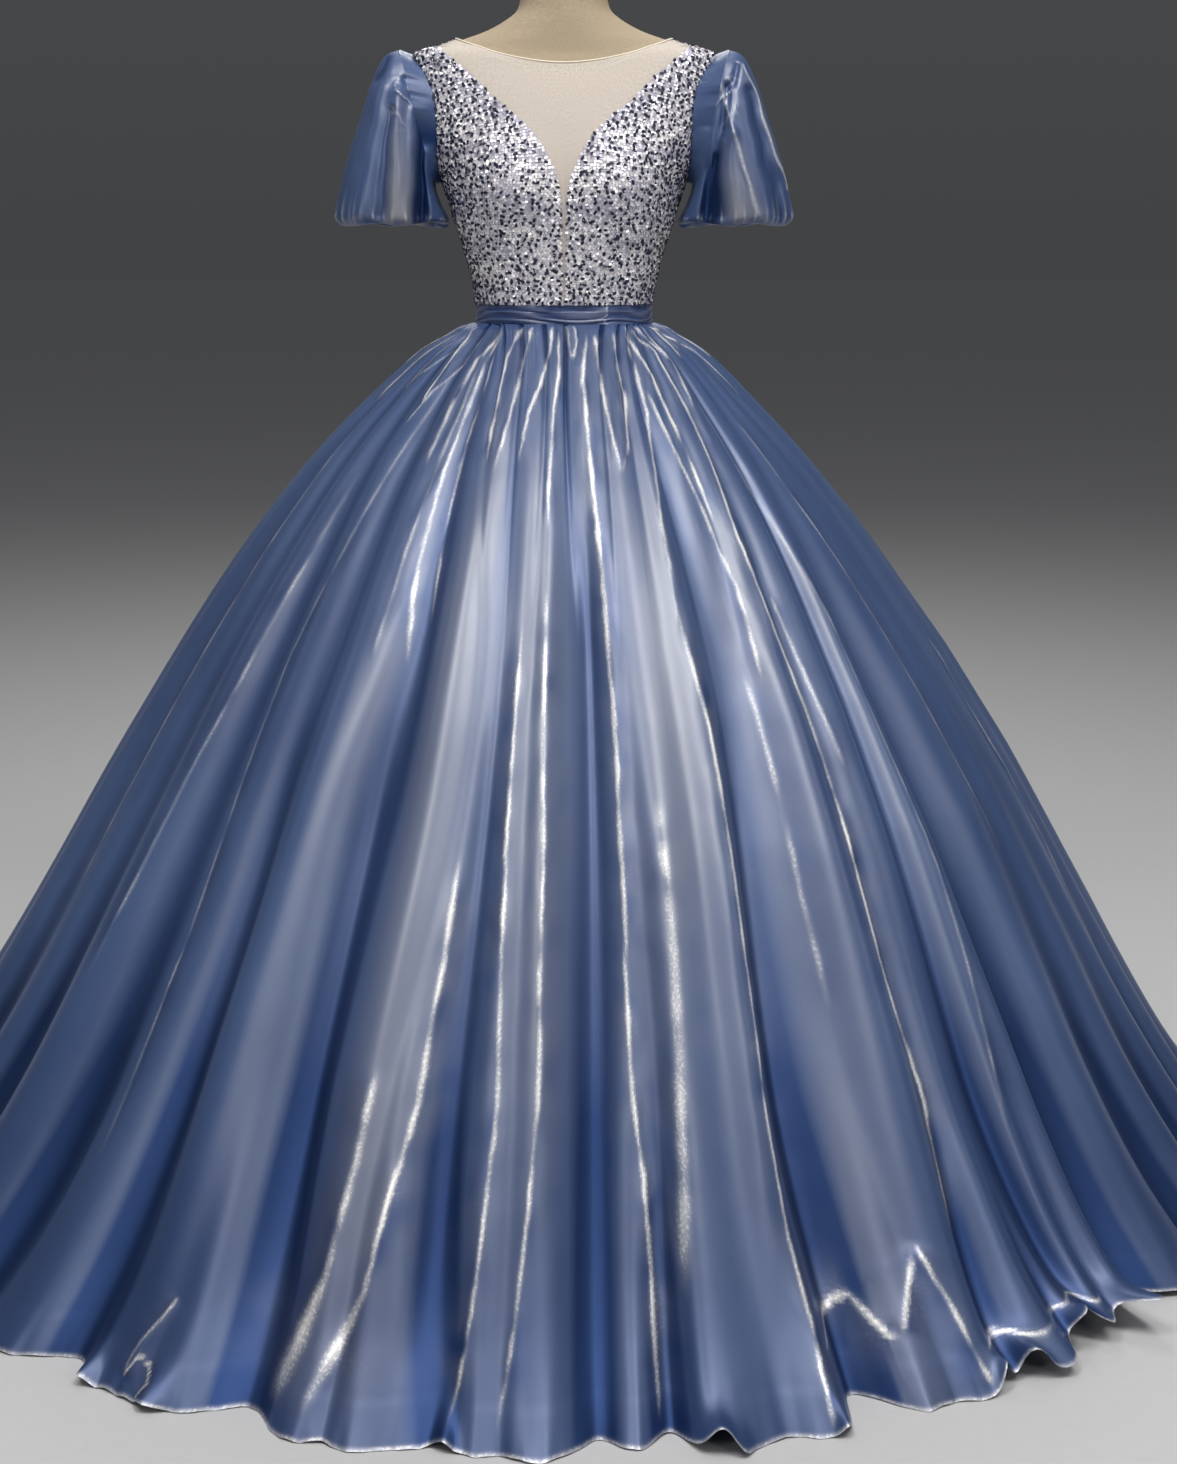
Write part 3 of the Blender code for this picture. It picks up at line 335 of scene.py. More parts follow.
# Sharp creases of the organza: height and half width in millimetres, the side on which the
# cloth falls away (1 is the wearer's left), and an azimuth and a share of the length for each
# of its points.
CREASES = (
    (2.4, 3.2, -1, (-19, 0.01, -25.8, 0.06, -26, 0.11, -26.2, 0.2, -25, 0.3, -22.6, 0.4)),
    (1.6, 3.0, -1, (-22.5, 0.04, -23.5, 0.16, -22.4, 0.27, -20.8, 0.36)),
    (2.6, 6.0, -1, (-15, 0.72, -15.5, 0.81, -16, 0.88, -17.2, 0.935, -18.4, 0.99)),
    (3.2, 4.0, 1, (-10.8, 0.55, -11, 0.65, -11.5, 0.75, -12.5, 0.82, -13.2, 0.89, -15.8, 0.985)),
    (2.8, 3.4, -1, (-6, 0.34, -6, 0.55, -5.2, 0.745, -5.5, 0.81, -6.2, 0.93, -7, 0.995)),
    (2.6, 3.4, 1, (-2.8, 0.3, -2.2, 0.55, -2, 0.745, -2.5, 0.82, -3.5, 0.94, -4, 0.99)),
    (3.4, 3.2, 1, (6, 0.01, 4.8, 0.09, 5.5, 0.2, 6.2, 0.34, 6.2, 0.48, 5.7, 0.66)),
    (3.2, 3.2, 1, (5.6, 0.62, 5.5, 0.745, 6, 0.81, 6, 0.93, 5.8, 0.995)),
    (2.4, 8.0, -1, (10.2, 0.5, 9.8, 0.655, 9.2, 0.747, 8, 0.9)),
    (2.2, 3.2, 1, (18.5, 0.02, 22.2, 0.07, 22, 0.13, 17.8, 0.25, 16.8, 0.36)),
    (3.6, 3.4, 1, (16.9, 0.33, 17.8, 0.42, 17.8, 0.49, 17.2, 0.6, 16.8, 0.69, 16.2, 0.76)),
    (3.4, 3.4, 1, (16.3, 0.74, 16, 0.85, 16.2, 0.92, 15.9, 0.998)),
    (1.4, 5.0, 1, (25.8, 0.4, 25.5, 0.515, 24.8, 0.6, 24.5, 0.7)),
    (3.4, 3.0, 1, (7.5, 0.02, 10.2, 0.12, 11.8, 0.2)),
    (3.4, 3.0, -1, (13.2, 0.015, 16.2, 0.11, 14.5, 0.17, 11.8, 0.2)),
    (3.0, 3.4, 1, (22, 0.01, 35, 0.05, 36, 0.13, 32.4, 0.27, 32.8, 0.37, 32.5, 0.53)),
    (3.4, 3.4, 1, (32.6, 0.5, 31, 0.665, 31, 0.78, 29.2, 0.89)),
    (2.6, 3.2, -1, (23.8, 0.1, 27.5, 0.226, 28.8, 0.321, 27.8, 0.413)),
    (1.6, 3.6, 1, (34.8, 0.33, 34.8, 0.42, 35, 0.5)),
    (3.2, 5.6, -1, (16.8, 0.945, 18.6, 0.93, 20.2, 0.918, 21.6, 0.945, 22.6, 0.944)),
    (3.4, 4.8, 1, (22.6, 0.944, 23.6, 0.92, 25.4, 0.878)),
    (3.2, 4.4, -1, (25.4, 0.878, 26.6, 0.93, 27.2, 0.995)),
    (2.8, 4.2, 1, (27.8, 0.970, 29.6, 0.966, 31, 0.971, 34, 0.973, 37.4, 0.978, 39.6, 0.982)),
    (1.6, 2.6, 1, (-44, 0.01, -48, 0.048, -53.5, 0.082, -60, 0.1)),
    (1.8, 2.6, -1, (-34.5, 0.005, -36, 0.072, -41.5, 0.108, -45, 0.154)),
    (2.6, 3.6, -1, (-20.5, 0.005, -30, 0.066, -31.8, 0.118, -30.8, 0.2)),
    (3.0, 2.6, 1, (-10.5, 0.004, -15.5, 0.06, -16.8, 0.1, -16.5, 0.19)),
    (3.0, 2.6, -1, (-7.2, 0.004, -11.2, 0.074, -12.2, 0.116, -14.5, 0.2)),
    (3.0, 2.6, 1, (-2.4, 0.004, -3, 0.046, -5.5, 0.094, -8.2, 0.13, -9.8, 0.19)),
    (2.8, 2.8, 1, (-1.2, 0.012, -1.2, 0.08, -2.2, 0.12, -3, 0.194, -2.8, 0.26)),
    (2.6, 2.2, -1, (0.5, 0.003, 1.2, 0.046, 2.2, 0.062)),
    (2.6, 2.2, 1, (2.2, 0.062, 3.2, 0.03, 2.3, 0.003)),
    (3.2, 3.0, 1, (18, 0.004, 28.2, 0.086, 29.2, 0.15, 29.2, 0.26)),
    (2.4, 3.0, 1, (30, 0.004, 41.5, 0.066, 38.2, 0.134)),
    (2.4, 3.0, -1, (52, 0.01, 66, 0.052, 71, 0.132)),
    (1.2, 4.0, 1, (-38, 0.06, -41, 0.25, -43.5, 0.4, -41, 0.62, -39, 0.86)),
    (1.2, 4.0, -1, (-50, 0.2, -51, 0.5, -51, 0.72)),
    (1.4, 3.6, -1, (-28, 0.05, -28, 0.25, -27.4, 0.4)),
    (1.2, 4.0, -1, (-66, 0.15, -67, 0.45, -66, 0.7)),
    (1.2, 4.0, 1, (41, 0.1, 44.6, 0.36, 42.5, 0.6, 38, 0.84)),
    (1.2, 4.0, 1, (54, 0.12, 57, 0.4, 58, 0.62)),
    (2.6, 2.4, -1, (-26.5, 0.92, -27.3, 0.942, -28, 0.957, -28.2, 0.968, -28.2, 0.986)),
    (2.6, 2.4, 1, (-28.2, 0.986, -27.6, 0.967, -26.5, 0.972, -25.9, 0.985, -26.6, 0.999)),
)
CRINKLED = (2, 3)  # the numbers of those whose painted highlight breaks up into a wide crinkle near the hem
CRINKLE, CRINKLE_ZONE = 1.6, (0.86, 0.96)  # how much wider, and the shares where it begins
CREASE_REACH = 5  # degrees that a crease's flanks may reach beyond its points
CREST_WIDTH = 0.60  # half width of the painted highlight on a crease's crest, in the crease's own half widths
CREASE_ENDS = (0.10, 0.12)  # the shares of a crease over which it starts and fades out
WANDER, JAGGED = 0.8, 0.7  # millimetres by which a crest strays to the sides
FULL_GLEAM = 3.0  # the rise in millimetres at which a crest's painted highlight is full
GLEAM_GROWTH = 1.6
LEAST_SHADED = 2.2  # lower creases get painted shade as if they rose this much
GLOW = 0.12  # the soft painted highlight on both sides of a crease
LIT_FLANK = 3.0  # how far a crease's flanks reach, in its half widths
SHADED_FLANK = 4.6
FLANK_SHADE = 0.34  # how deep the painted shade is on the shaded flank, for each millimetre of rise
GATHER_CREASES = 48
BACK_CREASES = 16


def clear_startup():
    for name in ("Cube", "Light", "Camera"):
        item = bpy.data.objects.get(name)
        if item:
            bpy.data.objects.remove(item, do_unlink=True)


def spread(start, end, count):
    return np.linspace(start, end, count)


def all_round(count):
    """Angles from 0, evenly spaced round a full turn."""
    return spread(0, 2 * math.pi, count + 1)[:-1]


def bell(value):
    """1 at 0, falling smoothly to nothing on both sides."""
    return np.exp(-(value**2))


def smooth(value, low, high):
    """0 below low, 1 above high, and smooth between."""
    t = np.clip((value - low) / (high - low), 0, 1)
    return t * t * (3 - 2 * t)


def signed(degrees):
    """Angles in degrees, brought between -180 and 180."""
    return np.mod(degrees + 180, 360) - 180


def xyz(x, y, z):
    """Points from their coordinates, any of which may be a number or a whole grid."""
    return np.stack(np.broadcast_arrays(x, y, z), axis=-1)


def between_rows(column, row):
    """A table's column read at fractional row numbers, on a smooth curve through its rows."""
    last = len(column) - 1
    start = np.clip(np.floor(row).astype(int), 0, last - 1)
    t = row - start
    here, after = column[start], column[start + 1]
    slope_here = (after - column[np.maximum(start - 1, 0)]) / 2
    slope_after = (column[np.minimum(start + 2, last)] - here) / 2
    return (
        here * (2 * t**3 - 3 * t**2 + 1)
        + slope_here * (t**3 - 2 * t**2 + t)
        + after * (3 * t**2 - 2 * t**3)
        + slope_after * (t**3 - t**2)
    )


def torso_row(height):
    """The fractional row of the torso's table at a height."""
    rows = np.linspace(0, len(TORSO["height"]) - 1, 1301)
    return np.interp(height, between_rows(TORSO["height"], rows), rows)


def torso_sizes(row):
    """Half width, front, back and squareness of the torso's section at a row."""
    return [between_rows(TORSO[name], row) for name in list(TORSO)[1:]]


def torso_point(angle, row):
    """A squared ellipse at each level, pushed forward over the bust by two soft bumps."""
    half_width, front, back, power = torso_sizes(row)
    sine, cosine = np.sin(angle), np.cos(angle)
    size = (np.abs(sine) ** power + np.abs(cosine) ** power) ** (-1 / power)
    x = half_width * sine * size
    z = between_rows(TORSO["height"], row)
    across = (np.abs(x) - BUST_X) / BUST_WIDTH
    up = (z - BUST_Z) / BUST_HEIGHT
    bust = BUST_LIFT * np.exp(-(across**2) - up**2) * np.maximum(cosine, 0)
    y = -np.where(cosine > 0, front, back) * cosine * size - bust
    return xyz(x, y, z)


def unit(vectors):
    return vectors / np.linalg.norm(vectors, axis=-1, keepdims=True)


def torso_normal(angle, row):
    step = 1e-3
    around = torso_point(angle + step, row) - torso_point(angle - step, row)
    up = torso_point(angle, row + step) - torso_point(angle, row - step)
    return unit(np.cross(around, up))


def over_torso(angle, row, lift):
    """Points a distance out from the torso, along its normal."""
    angle, row, lift = np.broadcast_arrays(angle, row, lift)
    return torso_point(angle, row) + torso_normal(angle, row) * lift[..., None]


def angle_from_share(share, power):
    """The form angle whose sine term is this share of the section's half width."""
    ratio = np.clip(share, 0.0, 1.0) ** power
    return np.arctan2(ratio ** (1 / power), (1 - ratio) ** (1 / power))


def angle_at_x(x, row):
    half_width, _, _, power = torso_sizes(row)
    return angle_from_share(x / half_width, power)


def angle_at_depth(depth, row, at_back):
    _, front, back, power = torso_sizes(row)
    beside = math.pi / 2 - angle_from_share(depth / (back if at_back else front), power)
    return math.pi - beside if at_back else beside


def seam_angle(row):
    """Half a seam's gap at the side, as a form angle."""
    return SEAM / 2 / torso_sizes(row)[1]


def edge(angle, row):
    """Pairs of a form angle and a torso row, along a panel's edge."""
    return np.stack(np.broadcast_arrays(angle, row), axis=-1)


def steps_across(points):
    """Lengths of the steps between a grid's neighbouring columns."""
    return np.linalg.norm(np.diff(points, axis=1), axis=2)


def steps_along(points):
    """Lengths of the steps between a grid's neighbouring rows."""
    return np.linalg.norm(np.diff(points, axis=0), axis=2)


def closed(grid):
    """The grid with its first column again at the end."""
    return np.concatenate([grid, grid[:, :1]], axis=1)


def between_edges(inner, outer, columns):
    """A grid of straight rows from one edge to the other."""
    u = spread(0, 1, columns)[None, :, None]
    return inner[:, None] + (outer - inner)[:, None] * u


def up_to_top(inner, outer, top):
    """Rows between two edges, bent more and more towards the shape of a top edge."""
    grid = between_edges(inner, outer, len(top))
    width = outer[:, 0] - inner[:, 0]
    narrowing = edge(width / width[-1], 1.0)[:, None]
    near_top = spread(0, 1, len(inner))[:, None, None] ** TOP_BEND
    return grid + near_top * narrowing * (top - grid[-1])


def bodice_point(grid, lift):
    """Points over the form at the bodice's ease, and a further lift."""
    away = (between_rows(TORSO["height"], grid[..., 1]) - SHOULDER_TIP) / SHOULDER_FADE
    ease = EASE + SHOULDER_EASE * bell(away)
    return over_torso(grid[..., 0], grid[..., 1], ease + lift)


def armhole(turn, at_back, inset=0.0):
    """Form angles and torso rows round the armhole. Turn is -90 degrees at the underarm."""
    half_height = (SHOULDER_TIP - UNDERARM) / 2
    row = torso_row(UNDERARM + half_height + (half_height - inset) * np.sin(turn))
    return angle_at_depth((ARMHOLE_HALF_DEPTH - inset) * np.cos(turn), row, at_back), row


def neckline(angle, lowest):
    """Torso rows along the neckline at form angles from its centre (0) to the shoulder (90)."""
    low, high = np.full(angle.shape, torso_row(lowest)), torso_row(NECK_SHOULDER)
    reach = TORSO["half_width"][TORSO["height"] == NECK_SHOULDER][0]
    row = (low + high) / 2
    for _ in range(60):
        half_width, _, _, power = torso_sizes(row)
        size = (np.sin(angle) ** power + np.cos(angle) ** power) ** (-1 / power)
        x = half_width * np.sin(angle) * size
        rise = (np.clip(x, 0, reach) / reach) ** NECKLINE_SWEEP
        wanted = torso_row(lowest + (NECK_SHOULDER - lowest) * rise)
        row = (row + wanted) / 2
    return row


def side_edge(at_back, below, above):
    """A panel's outer edge: the side seam from the waist up, then half the armhole."""
    row = torso_row(spread(BELT_TOP + SEAM, UNDERARM, below))
    away = seam_angle(row) * (1 if at_back else -1)
    hole_angle, hole_row = armhole(np.radians(spread(-90, 90, above + 1))[1:], at_back)
    hole_away = seam_angle(hole_row) * (1 if at_back else -1)
    limit = np.maximum if at_back else np.minimum
    hole_angle = limit(hole_angle, math.pi / 2 + hole_away)
    return np.concatenate([edge(math.pi / 2 + away, row), edge(hole_angle, hole_row)])


def v_edge_place(height, away):
    """Form angles and torso rows at heights on the V's edge, or a distance away from it."""
    row = torso_row(height)
    gap = np.interp(height, V_EDGE["height"], V_EDGE["half_gap"]) + away
    return np.minimum(angle_at_x(gap, row), math.pi / 2 - seam_angle(row)), row


def v_edge_points(away, below, above):
    """The V neckline's edge from the belt to the shoulder, evenly spaced above the underarm."""
    fine = spread(UNDERARM, V_EDGE["height"][-1], 400)
    points = torso_point(*v_edge_place(fine, 0.0))
    length = np.append(0, np.cumsum(np.linalg.norm(np.diff(points, axis=0), axis=1)))
    upper = np.interp(spread(0, length[-1], above + 1)[1:], length, fine)
    lower = spread(BELT_TOP + SEAM, UNDERARM, below)
    return edge(*v_edge_place(np.append(lower, upper), away))


def neck_edge(lowest, columns):
    """The top edge of a panel at the neckline, under the bound edge."""
    angle = spread(0, math.pi / 2, columns)
    drop = torso_row(lowest) - torso_row(lowest - BINDING_RADIUS)
    return angle, neckline(angle, lowest) - drop


def front_grid(columns=60, below=50, above=60):
    """Form angles and torso rows of the wearer's left front."""
    return between_edges(v_edge_points(0, below, above), side_edge(False, below, above), columns)


def back_grid(columns=60, below=50, above=60):
    outer = side_edge(True, below, above)
    neck_angle, neck_row = neck_edge(BACK_NECK, columns - 12)
    inner_row = spread(outer[0, 1], neck_row[0], len(outer))
    inner = edge(math.pi - SEAM / 2 / torso_sizes(inner_row)[2], inner_row)
    shoulder_row = spread(neck_row[-1], outer[-1, 1], 13)
    shoulder = edge(math.pi / 2 + seam_angle(shoulder_row), shoulder_row)
    top = np.concatenate([inner[-1:], edge(math.pi - neck_angle, neck_row)[1:-1], shoulder])
    return up_to_top(inner, outer, top)[:, ::-1]


def yoke_grid(columns=30, below=40, above=60):
    v_edge = v_edge_points(-0.0002, below, above)
    neck_angle, neck_row = neck_edge(FRONT_NECK, columns)
    shoulder_row = spread(v_edge[-1, 1], neck_row[-1], 8)[1:]
    shoulder = edge(math.pi / 2 - seam_angle(shoulder_row), shoulder_row)
    outer = np.concatenate([v_edge, shoulder])
    top = edge(neck_angle, neck_row)
    top[-1] = outer[-1]
    inner = edge(0.0, spread(outer[0, 1], neck_row[0], len(outer)))
    return up_to_top(inner, outer, top)


def mirrored(points):
    """The same grid on the wearer's right, still facing out."""
    return points[:, ::-1] * (-1.0, 1.0, 1.0)


class Waves:
    """Smooth seeded noise from -1 to about 1: a sum of plane waves of one rough length."""

    def __init__(self, seed, length):
        random, count = np.random.default_rng(seed), 14
        direction = unit(random.normal(size=(count, 3)))
        self.pace = direction * 2 * math.pi / (length * random.uniform(0.6, 1.5, (count, 1)))
        self.start = random.uniform(0, 2 * math.pi, count)

    def at(self, points):
        phase = points @ self.pace.T + self.start
        return np.sin(phase).sum(axis=-1) / math.sqrt(len(self.start) / 2) / 2


# Meshes

def grid_quads(rows, columns, wrap_columns=False, wrap_rows=False):
    number = np.arange(rows * columns).reshape(rows, columns)
    if wrap_columns:
        number = closed(number)
    if wrap_rows:
        number = np.concatenate([number, number[:1]], axis=0)
    corners = [number[:-1, :-1], number[:-1, 1:], number[1:, 1:], number[1:, :-1]]
    return np.stack(corners, axis=-1).reshape(-1, 4)


def grid_normals(points, wrap_columns=False):
    """Normals of a grid from its neighbouring points, the same on both sides of a seam."""
    if wrap_columns:
        around = np.roll(points, -1, axis=1) - np.roll(points, 1, axis=1)
    else:
        around = np.gradient(points, axis=1)
    return unit(np.cross(around, np.gradient(points, axis=0)))


def new_mesh(name, points, faces, material, normals=None, layers=None, cloth_uv=None):
    """An object from points and faces, with values stored at its points."""
    mesh = bpy.data.meshes.new(name)
    mesh.from_pydata(points.reshape(-1, 3).tolist(), [], faces)
    for layer, values in (layers or {}).items():
        attribute = mesh.attributes.new(layer, "FLOAT", "POINT")
        attribute.data.foreach_set("value", np.asarray(values, np.float32).ravel())
    if cloth_uv is not None:
        corner = np.empty(len(mesh.loops), np.int32)
        mesh.loops.foreach_get("vertex_index", corner)
        uv = mesh.uv_layers.new(name="cloth")
        uv.data.foreach_set("uv", cloth_uv.reshape(-1, 2)[corner].astype(np.float32).ravel())
    mesh.materials.append(material)
    mesh.shade_smooth()
    if normals is not None:
        mesh.normals_split_custom_set_from_vertices(normals.reshape(-1, 3).tolist())
    piece = bpy.data.objects.new(name, mesh)
    bpy.context.scene.collection.objects.link(piece)
    return piece


def grid_piece(name, points, material, wrap_columns=False, wrap_rows=False, **more):
    """An object whose faces join the neighbouring points of a grid."""
    faces = grid_quads(*points.shape[:2], wrap_columns, wrap_rows)
    return new_mesh(name, points, faces.tolist(), material, **more)


def cloth_lengths(points):
    """Each grid point's place on the flat cloth: metres across it and along it."""
    u = np.append(0, np.cumsum(steps_across(points).mean(axis=0)))
    v = np.append(0, np.cumsum(steps_along(points).mean(axis=1)))
    return np.stack(np.broadcast_arrays(u[None, :], v[:, None]), axis=-1)


def wear(piece, slot, *nodes):
    """Puts a piece in the place of CAD nodes, on the gown's one body. The slot is not used."""
    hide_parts(*nodes)
    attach(piece, "root")
    return piece


# Materials

class Value:
    """A shader socket that arithmetic works on."""

    def __init__(self, shader, socket):
        self.shader = shader
        self.socket = socket

    def math(self, operation, *others, swap=False):
        terms = [*others, self] if swap else [self, *others]
        return self.shader.add("Math", {"operation": operation}, terms)

    def __add__(self, other):
        return self.math("ADD", other)

    __radd__ = __add__

    def __mul__(self, other):
        return self.math("MULTIPLY", other)

    __rmul__ = __mul__

    def __sub__(self, other):
        return self.math("SUBTRACT", other)

    def __rsub__(self, other):
        return self.math("SUBTRACT", other, swap=True)

    def clamped(self, low=0.0, high=1.0):
        return self.math("MAXIMUM", low).math("MINIMUM", high)

    def ramp(self, low, high):
        """0 below low, 1 above high, and smooth between."""
        settings = {"interpolation_type": "SMOOTHSTEP"}
        sockets = {"Value": self, "From Min": low, "From Max": high}
        return self.shader.add("MapRange", settings, sockets)


class Shader:
    """A material of the Principled shader, and the nodes that feed it."""

    def __init__(self, name, **constants):
        self.material = bpy.data.materials.new(name)
        self.material.use_nodes = True
        self.nodes = self.material.node_tree.nodes
        self.links = self.material.node_tree.links
        self.surface = self.nodes["Principled BSDF"]
        for socket, value in constants.items():
            self.surface.inputs[socket.replace("_", " ")].default_value = value

    def add(self, kind, settings, sockets, output=0):
        """Makes a node: its type, its settings, its sockets by order or name."""
        node = self.nodes.new("ShaderNode" + kind)
        for name, value in settings.items():
            setattr(node, name, value)
        named = sockets.items() if isinstance(sockets, dict) else enumerate(sockets)
        for key, value in named:
            if isinstance(value, Value):
                self.links.new(value.socket, node.inputs[key])
            else:
                node.inputs[key].default_value = value
        return Value(self, node.outputs[output])

    def place(self):
        return self.add("TexCoord", {}, {}, "Object")

    def cloth_place(self):
        return self.add("UVMap", {"uv_map": "cloth"}, {})

    def stored(self, name):
        return self.add("Attribute", {"attribute_name": name}, {}, "Fac")

    def stretched(self, vector, scale):
        return self.add("Mapping", {}, {"Vector": vector, "Scale": scale})

    def noise(self, vector, scale, detail=3.0, roughness=0.5):
        sockets = {"Vector": vector, "Scale": scale, "Detail": detail, "Roughness": roughness}
        return self.add("TexNoise", {}, sockets)

    def mix(self, factor, first, second):
        pair = [c if isinstance(c, Value) else (*c, 1.0) for c in (first, second)]
        return self.add("Mix", {"data_type": "RGBA"}, {0: factor, 6: pair[0], 7: pair[1]}, 2)

    def bump(self, height, strength, distance):
        sockets = {"Height": height, "Strength": strength, "Distance": distance}
        return self.add("Bump", {}, sockets)

    def finish(self, **sockets):
        for name, value in sockets.items():
            self.links.new(value.socket, self.surface.inputs[name.replace("_", " ")])
        return self.material


SHADE_BLUE = (0.010, 0.040, 0.148)  # painted shade, down in the folds
NAVY = (0.016, 0.046, 0.148)
BLUE = (0.044, 0.089, 0.216)
SHEEN_GREY = (0.320, 0.306, 0.300)  # painted sheen on broad swells and the sleeves' lit folds
HIGHLIGHT_SILVER = (0.930, 0.920, 0.910)  # painted highlight along sharp creases and the hem's edge


def organza_material():
    shader = Shader(
        "organza",
        IOR=1.6,
        Specular_IOR_Level=0.9,
        Sheen_Weight=0.06,
        Sheen_Roughness=0.4,
        Sheen_Tint=(0.50, 0.62, 0.95, 1.0),
        Coat_Roughness=0.28,
    )
    cloth = shader.cloth_place()
    gleam = shader.stored("gleam")
    clouds = shader.noise(shader.stretched(cloth, (3.0, 1.1, 1.0)), 2.6, 3.0)
    crinkle = shader.noise(shader.stretched(cloth, (60.0, 14.0, 1.0)), 1.0, 3.0, 0.5)
    slub = shader.noise(shader.stretched(cloth, (900.0, 90.0, 1.0)), 1.0, 2.0)
    sparkle = shader.noise(shader.stretched(cloth, (420.0, 240.0, 1.0)), 1.0, 2.0)
    # Painted sparkle on the creases' highlights.
    specks = sparkle.ramp(0.46, 0.66) * gleam.ramp(0.02, 0.3)
    tone = (clouds.ramp(0.3, 0.72) * 0.7 + slub * 0.22 + crinkle * 0.2).clamped()
    # Painted shade in the folds: a deeper blue, rougher, metallic so that its gloss is blue, and
    # with less coat.
    painted_shade = shader.stored("painted_shade")
    # Painted sheen: pale grey where the glow layer is set.
    ground = shader.mix(shader.stored("glow"), shader.mix(tone, NAVY, BLUE), SHEEN_GREY)
    ground = shader.mix(painted_shade, ground, SHADE_BLUE)
    # Painted highlight in near white along the creases and the hem's edge.
    colour = shader.mix((gleam * 0.95 + specks * 0.28).clamped(), ground, HIGHLIGHT_SILVER)
    roughness = (0.38 - gleam * 0.12 + crinkle * 0.08 + painted_shade * 0.10).clamped(0.2, 0.8)
    height = crinkle * 0.5 + slub * 0.2 + clouds * 0.4
    return shader.finish(
        Base_Color=colour,
        Roughness=roughness,
        Metallic=(painted_shade * 0.8).clamped(),
        Coat_Weight=0.2 - painted_shade * 0.2,
        Normal=shader.bump(height, 0.16, 0.0010),
    )


def sequin_material():
    shader = Shader("sequins", IOR=1.5, Specular_IOR_Level=0.5)
    tone = shader.stored("tone")
    pale = tone.ramp(0.2, 0.3)
    cool = shader.mix(tone.ramp(0.3, 0.95), (0.50, 0.475, 0.58), (1.0, 0.965, 0.97))
    colour = shader.mix(pale, (0.006, 0.010, 0.036), cool)
    return shader.finish(Base_Color=colour, Roughness=0.6 - pale * 0.26, Metallic=pale * 0.3)


def grained_material(name, scale, detail, colours, roughness, bump=None, **constants):
    """A material whose colour, roughness and relief all follow one fine noise."""
    shader = Shader(name, **constants)
    grain = shader.noise(shader.place(), scale, detail)
    varied, least = roughness
    sockets = {"Base_Color": shader.mix(grain, *colours), "Roughness": grain * varied + least}
    if bump:
        sockets["Normal"] = shader.bump(grain, *bump)
    return shader.finish(**sockets)


def ground_material():
    """The lilac satin behind the sequins."""
    colours = (0.30, 0.29, 0.40), (0.60, 0.58, 0.68)
    return grained_material("sequin_ground", 900.0, 2.0, colours, (0.3, 0.45), (0.5, 0.0006))


def edging_material():
    colours = (0.62, 0.53, 0.40), (0.86, 0.80, 0.68)
    bump = (0.4, 0.0005)
    return grained_material("edging", 700.0, 2.0, colours, (0.2, 0.5), bump, Sheen_Weight=0.2)


def steel_material():
    colours = (0.050, 0.050, 0.054), (0.095, 0.095, 0.10)
    bump = (0.15, 0.0004)
    return grained_material("steel", 260.0, 4.0, colours, (0.2, 0.3), bump, Metallic=0.6)


def floor_material():
    colours = (0.50, 0.50, 0.51), (0.54, 0.54, 0.545)
    rough = (0.1, 0.75)
    return grained_material("pale_floor", 60.0, 3.0, colours, rough, Specular_IOR_Level=0.3)


def net_material():
    shader = Shader("net", Roughness=0.7, Specular_IOR_Level=0.3)
    place = shader.cloth_place()
    threads = shader.noise(shader.stretched(place, (1500.0, 240.0, 1.0)), 1.0, 2.0)
    colour = shader.mix(threads, (0.70, 0.62, 0.54), (0.86, 0.80, 0.74))
    return shader.finish(
        Base_Color=colour,
        Alpha=(threads * 0.4 + 0.42).clamped(),
        Normal=shader.bump(threads, 0.3, 0.0004),
    )


def satin_material():
    shader = Shader("satin", IOR=1.5, Specular_IOR_Level=0.7, Sheen_Weight=0.15)
    cloth = shader.cloth_place()
    weave = shader.noise(shader.stretched(cloth, (36.0, 700.0, 1.0)), 1.0, 3.0)
    gleam = shader.stored("gleam")
    ground = shader.mix(weave.ramp(0.3, 0.7), (0.006, 0.018, 0.075), (0.030, 0.062, 0.180))
    # Painted highlight on the pleats' crests and along the lap's edge.
    colour = shader.mix((gleam * 0.9).clamped(), ground, (0.46, 0.51, 0.64))
    return shader.finish(
        Base_Color=colour,
        Roughness=weave * 0.15 + 0.28,
        Normal=shader.bump(weave, 0.25, 0.0004),
    )


def linen_material():
    shader = Shader("linen", Specular_IOR_Level=0.25)
    place = shader.place()
    warp = shader.noise(shader.stretched(place, (1400.0, 1400.0, 180.0)), 1.0, 2.0)
    weft = shader.noise(shader.stretched(place, (180.0, 180.0, 1400.0)), 1.0, 2.0)
    weave = (warp + weft) * 0.5
    patches = shader.noise(place, 9.0, 3.0)
    ground = shader.mix(patches.ramp(0.3, 0.7), (0.40, 0.325, 0.225), (0.50, 0.42, 0.315))
    colour = shader.mix(weave.ramp(0.35, 0.7), (0.34, 0.275, 0.19), ground)
    return shader.finish(
        Base_Color=colour,
        Roughness=weave * 0.2 + 0.7,
        Normal=shader.bump(weave, 0.5, 0.0007),
    )


# The skirt

def waist_place(azimuth):
    """The azimuth on the waist from which the folds at this azimuth fan out."""
    side = signed(azimuth)
    quarter = np.minimum(np.abs(side), 180 - np.abs(side))
    moved = np.interp(quarter, FAN["skirt"], FAN["waist"]) - quarter
    return azimuth + moved * np.sign(side) * np.sign(90 - np.abs(side))


def own_place(waist_azimuth):
    """The azimuth from which a fold that starts here on the waist comes down."""
    fine = spread(-180, 360, 1081)
    return np.interp(waist_azimuth, waist_place(fine), fine)


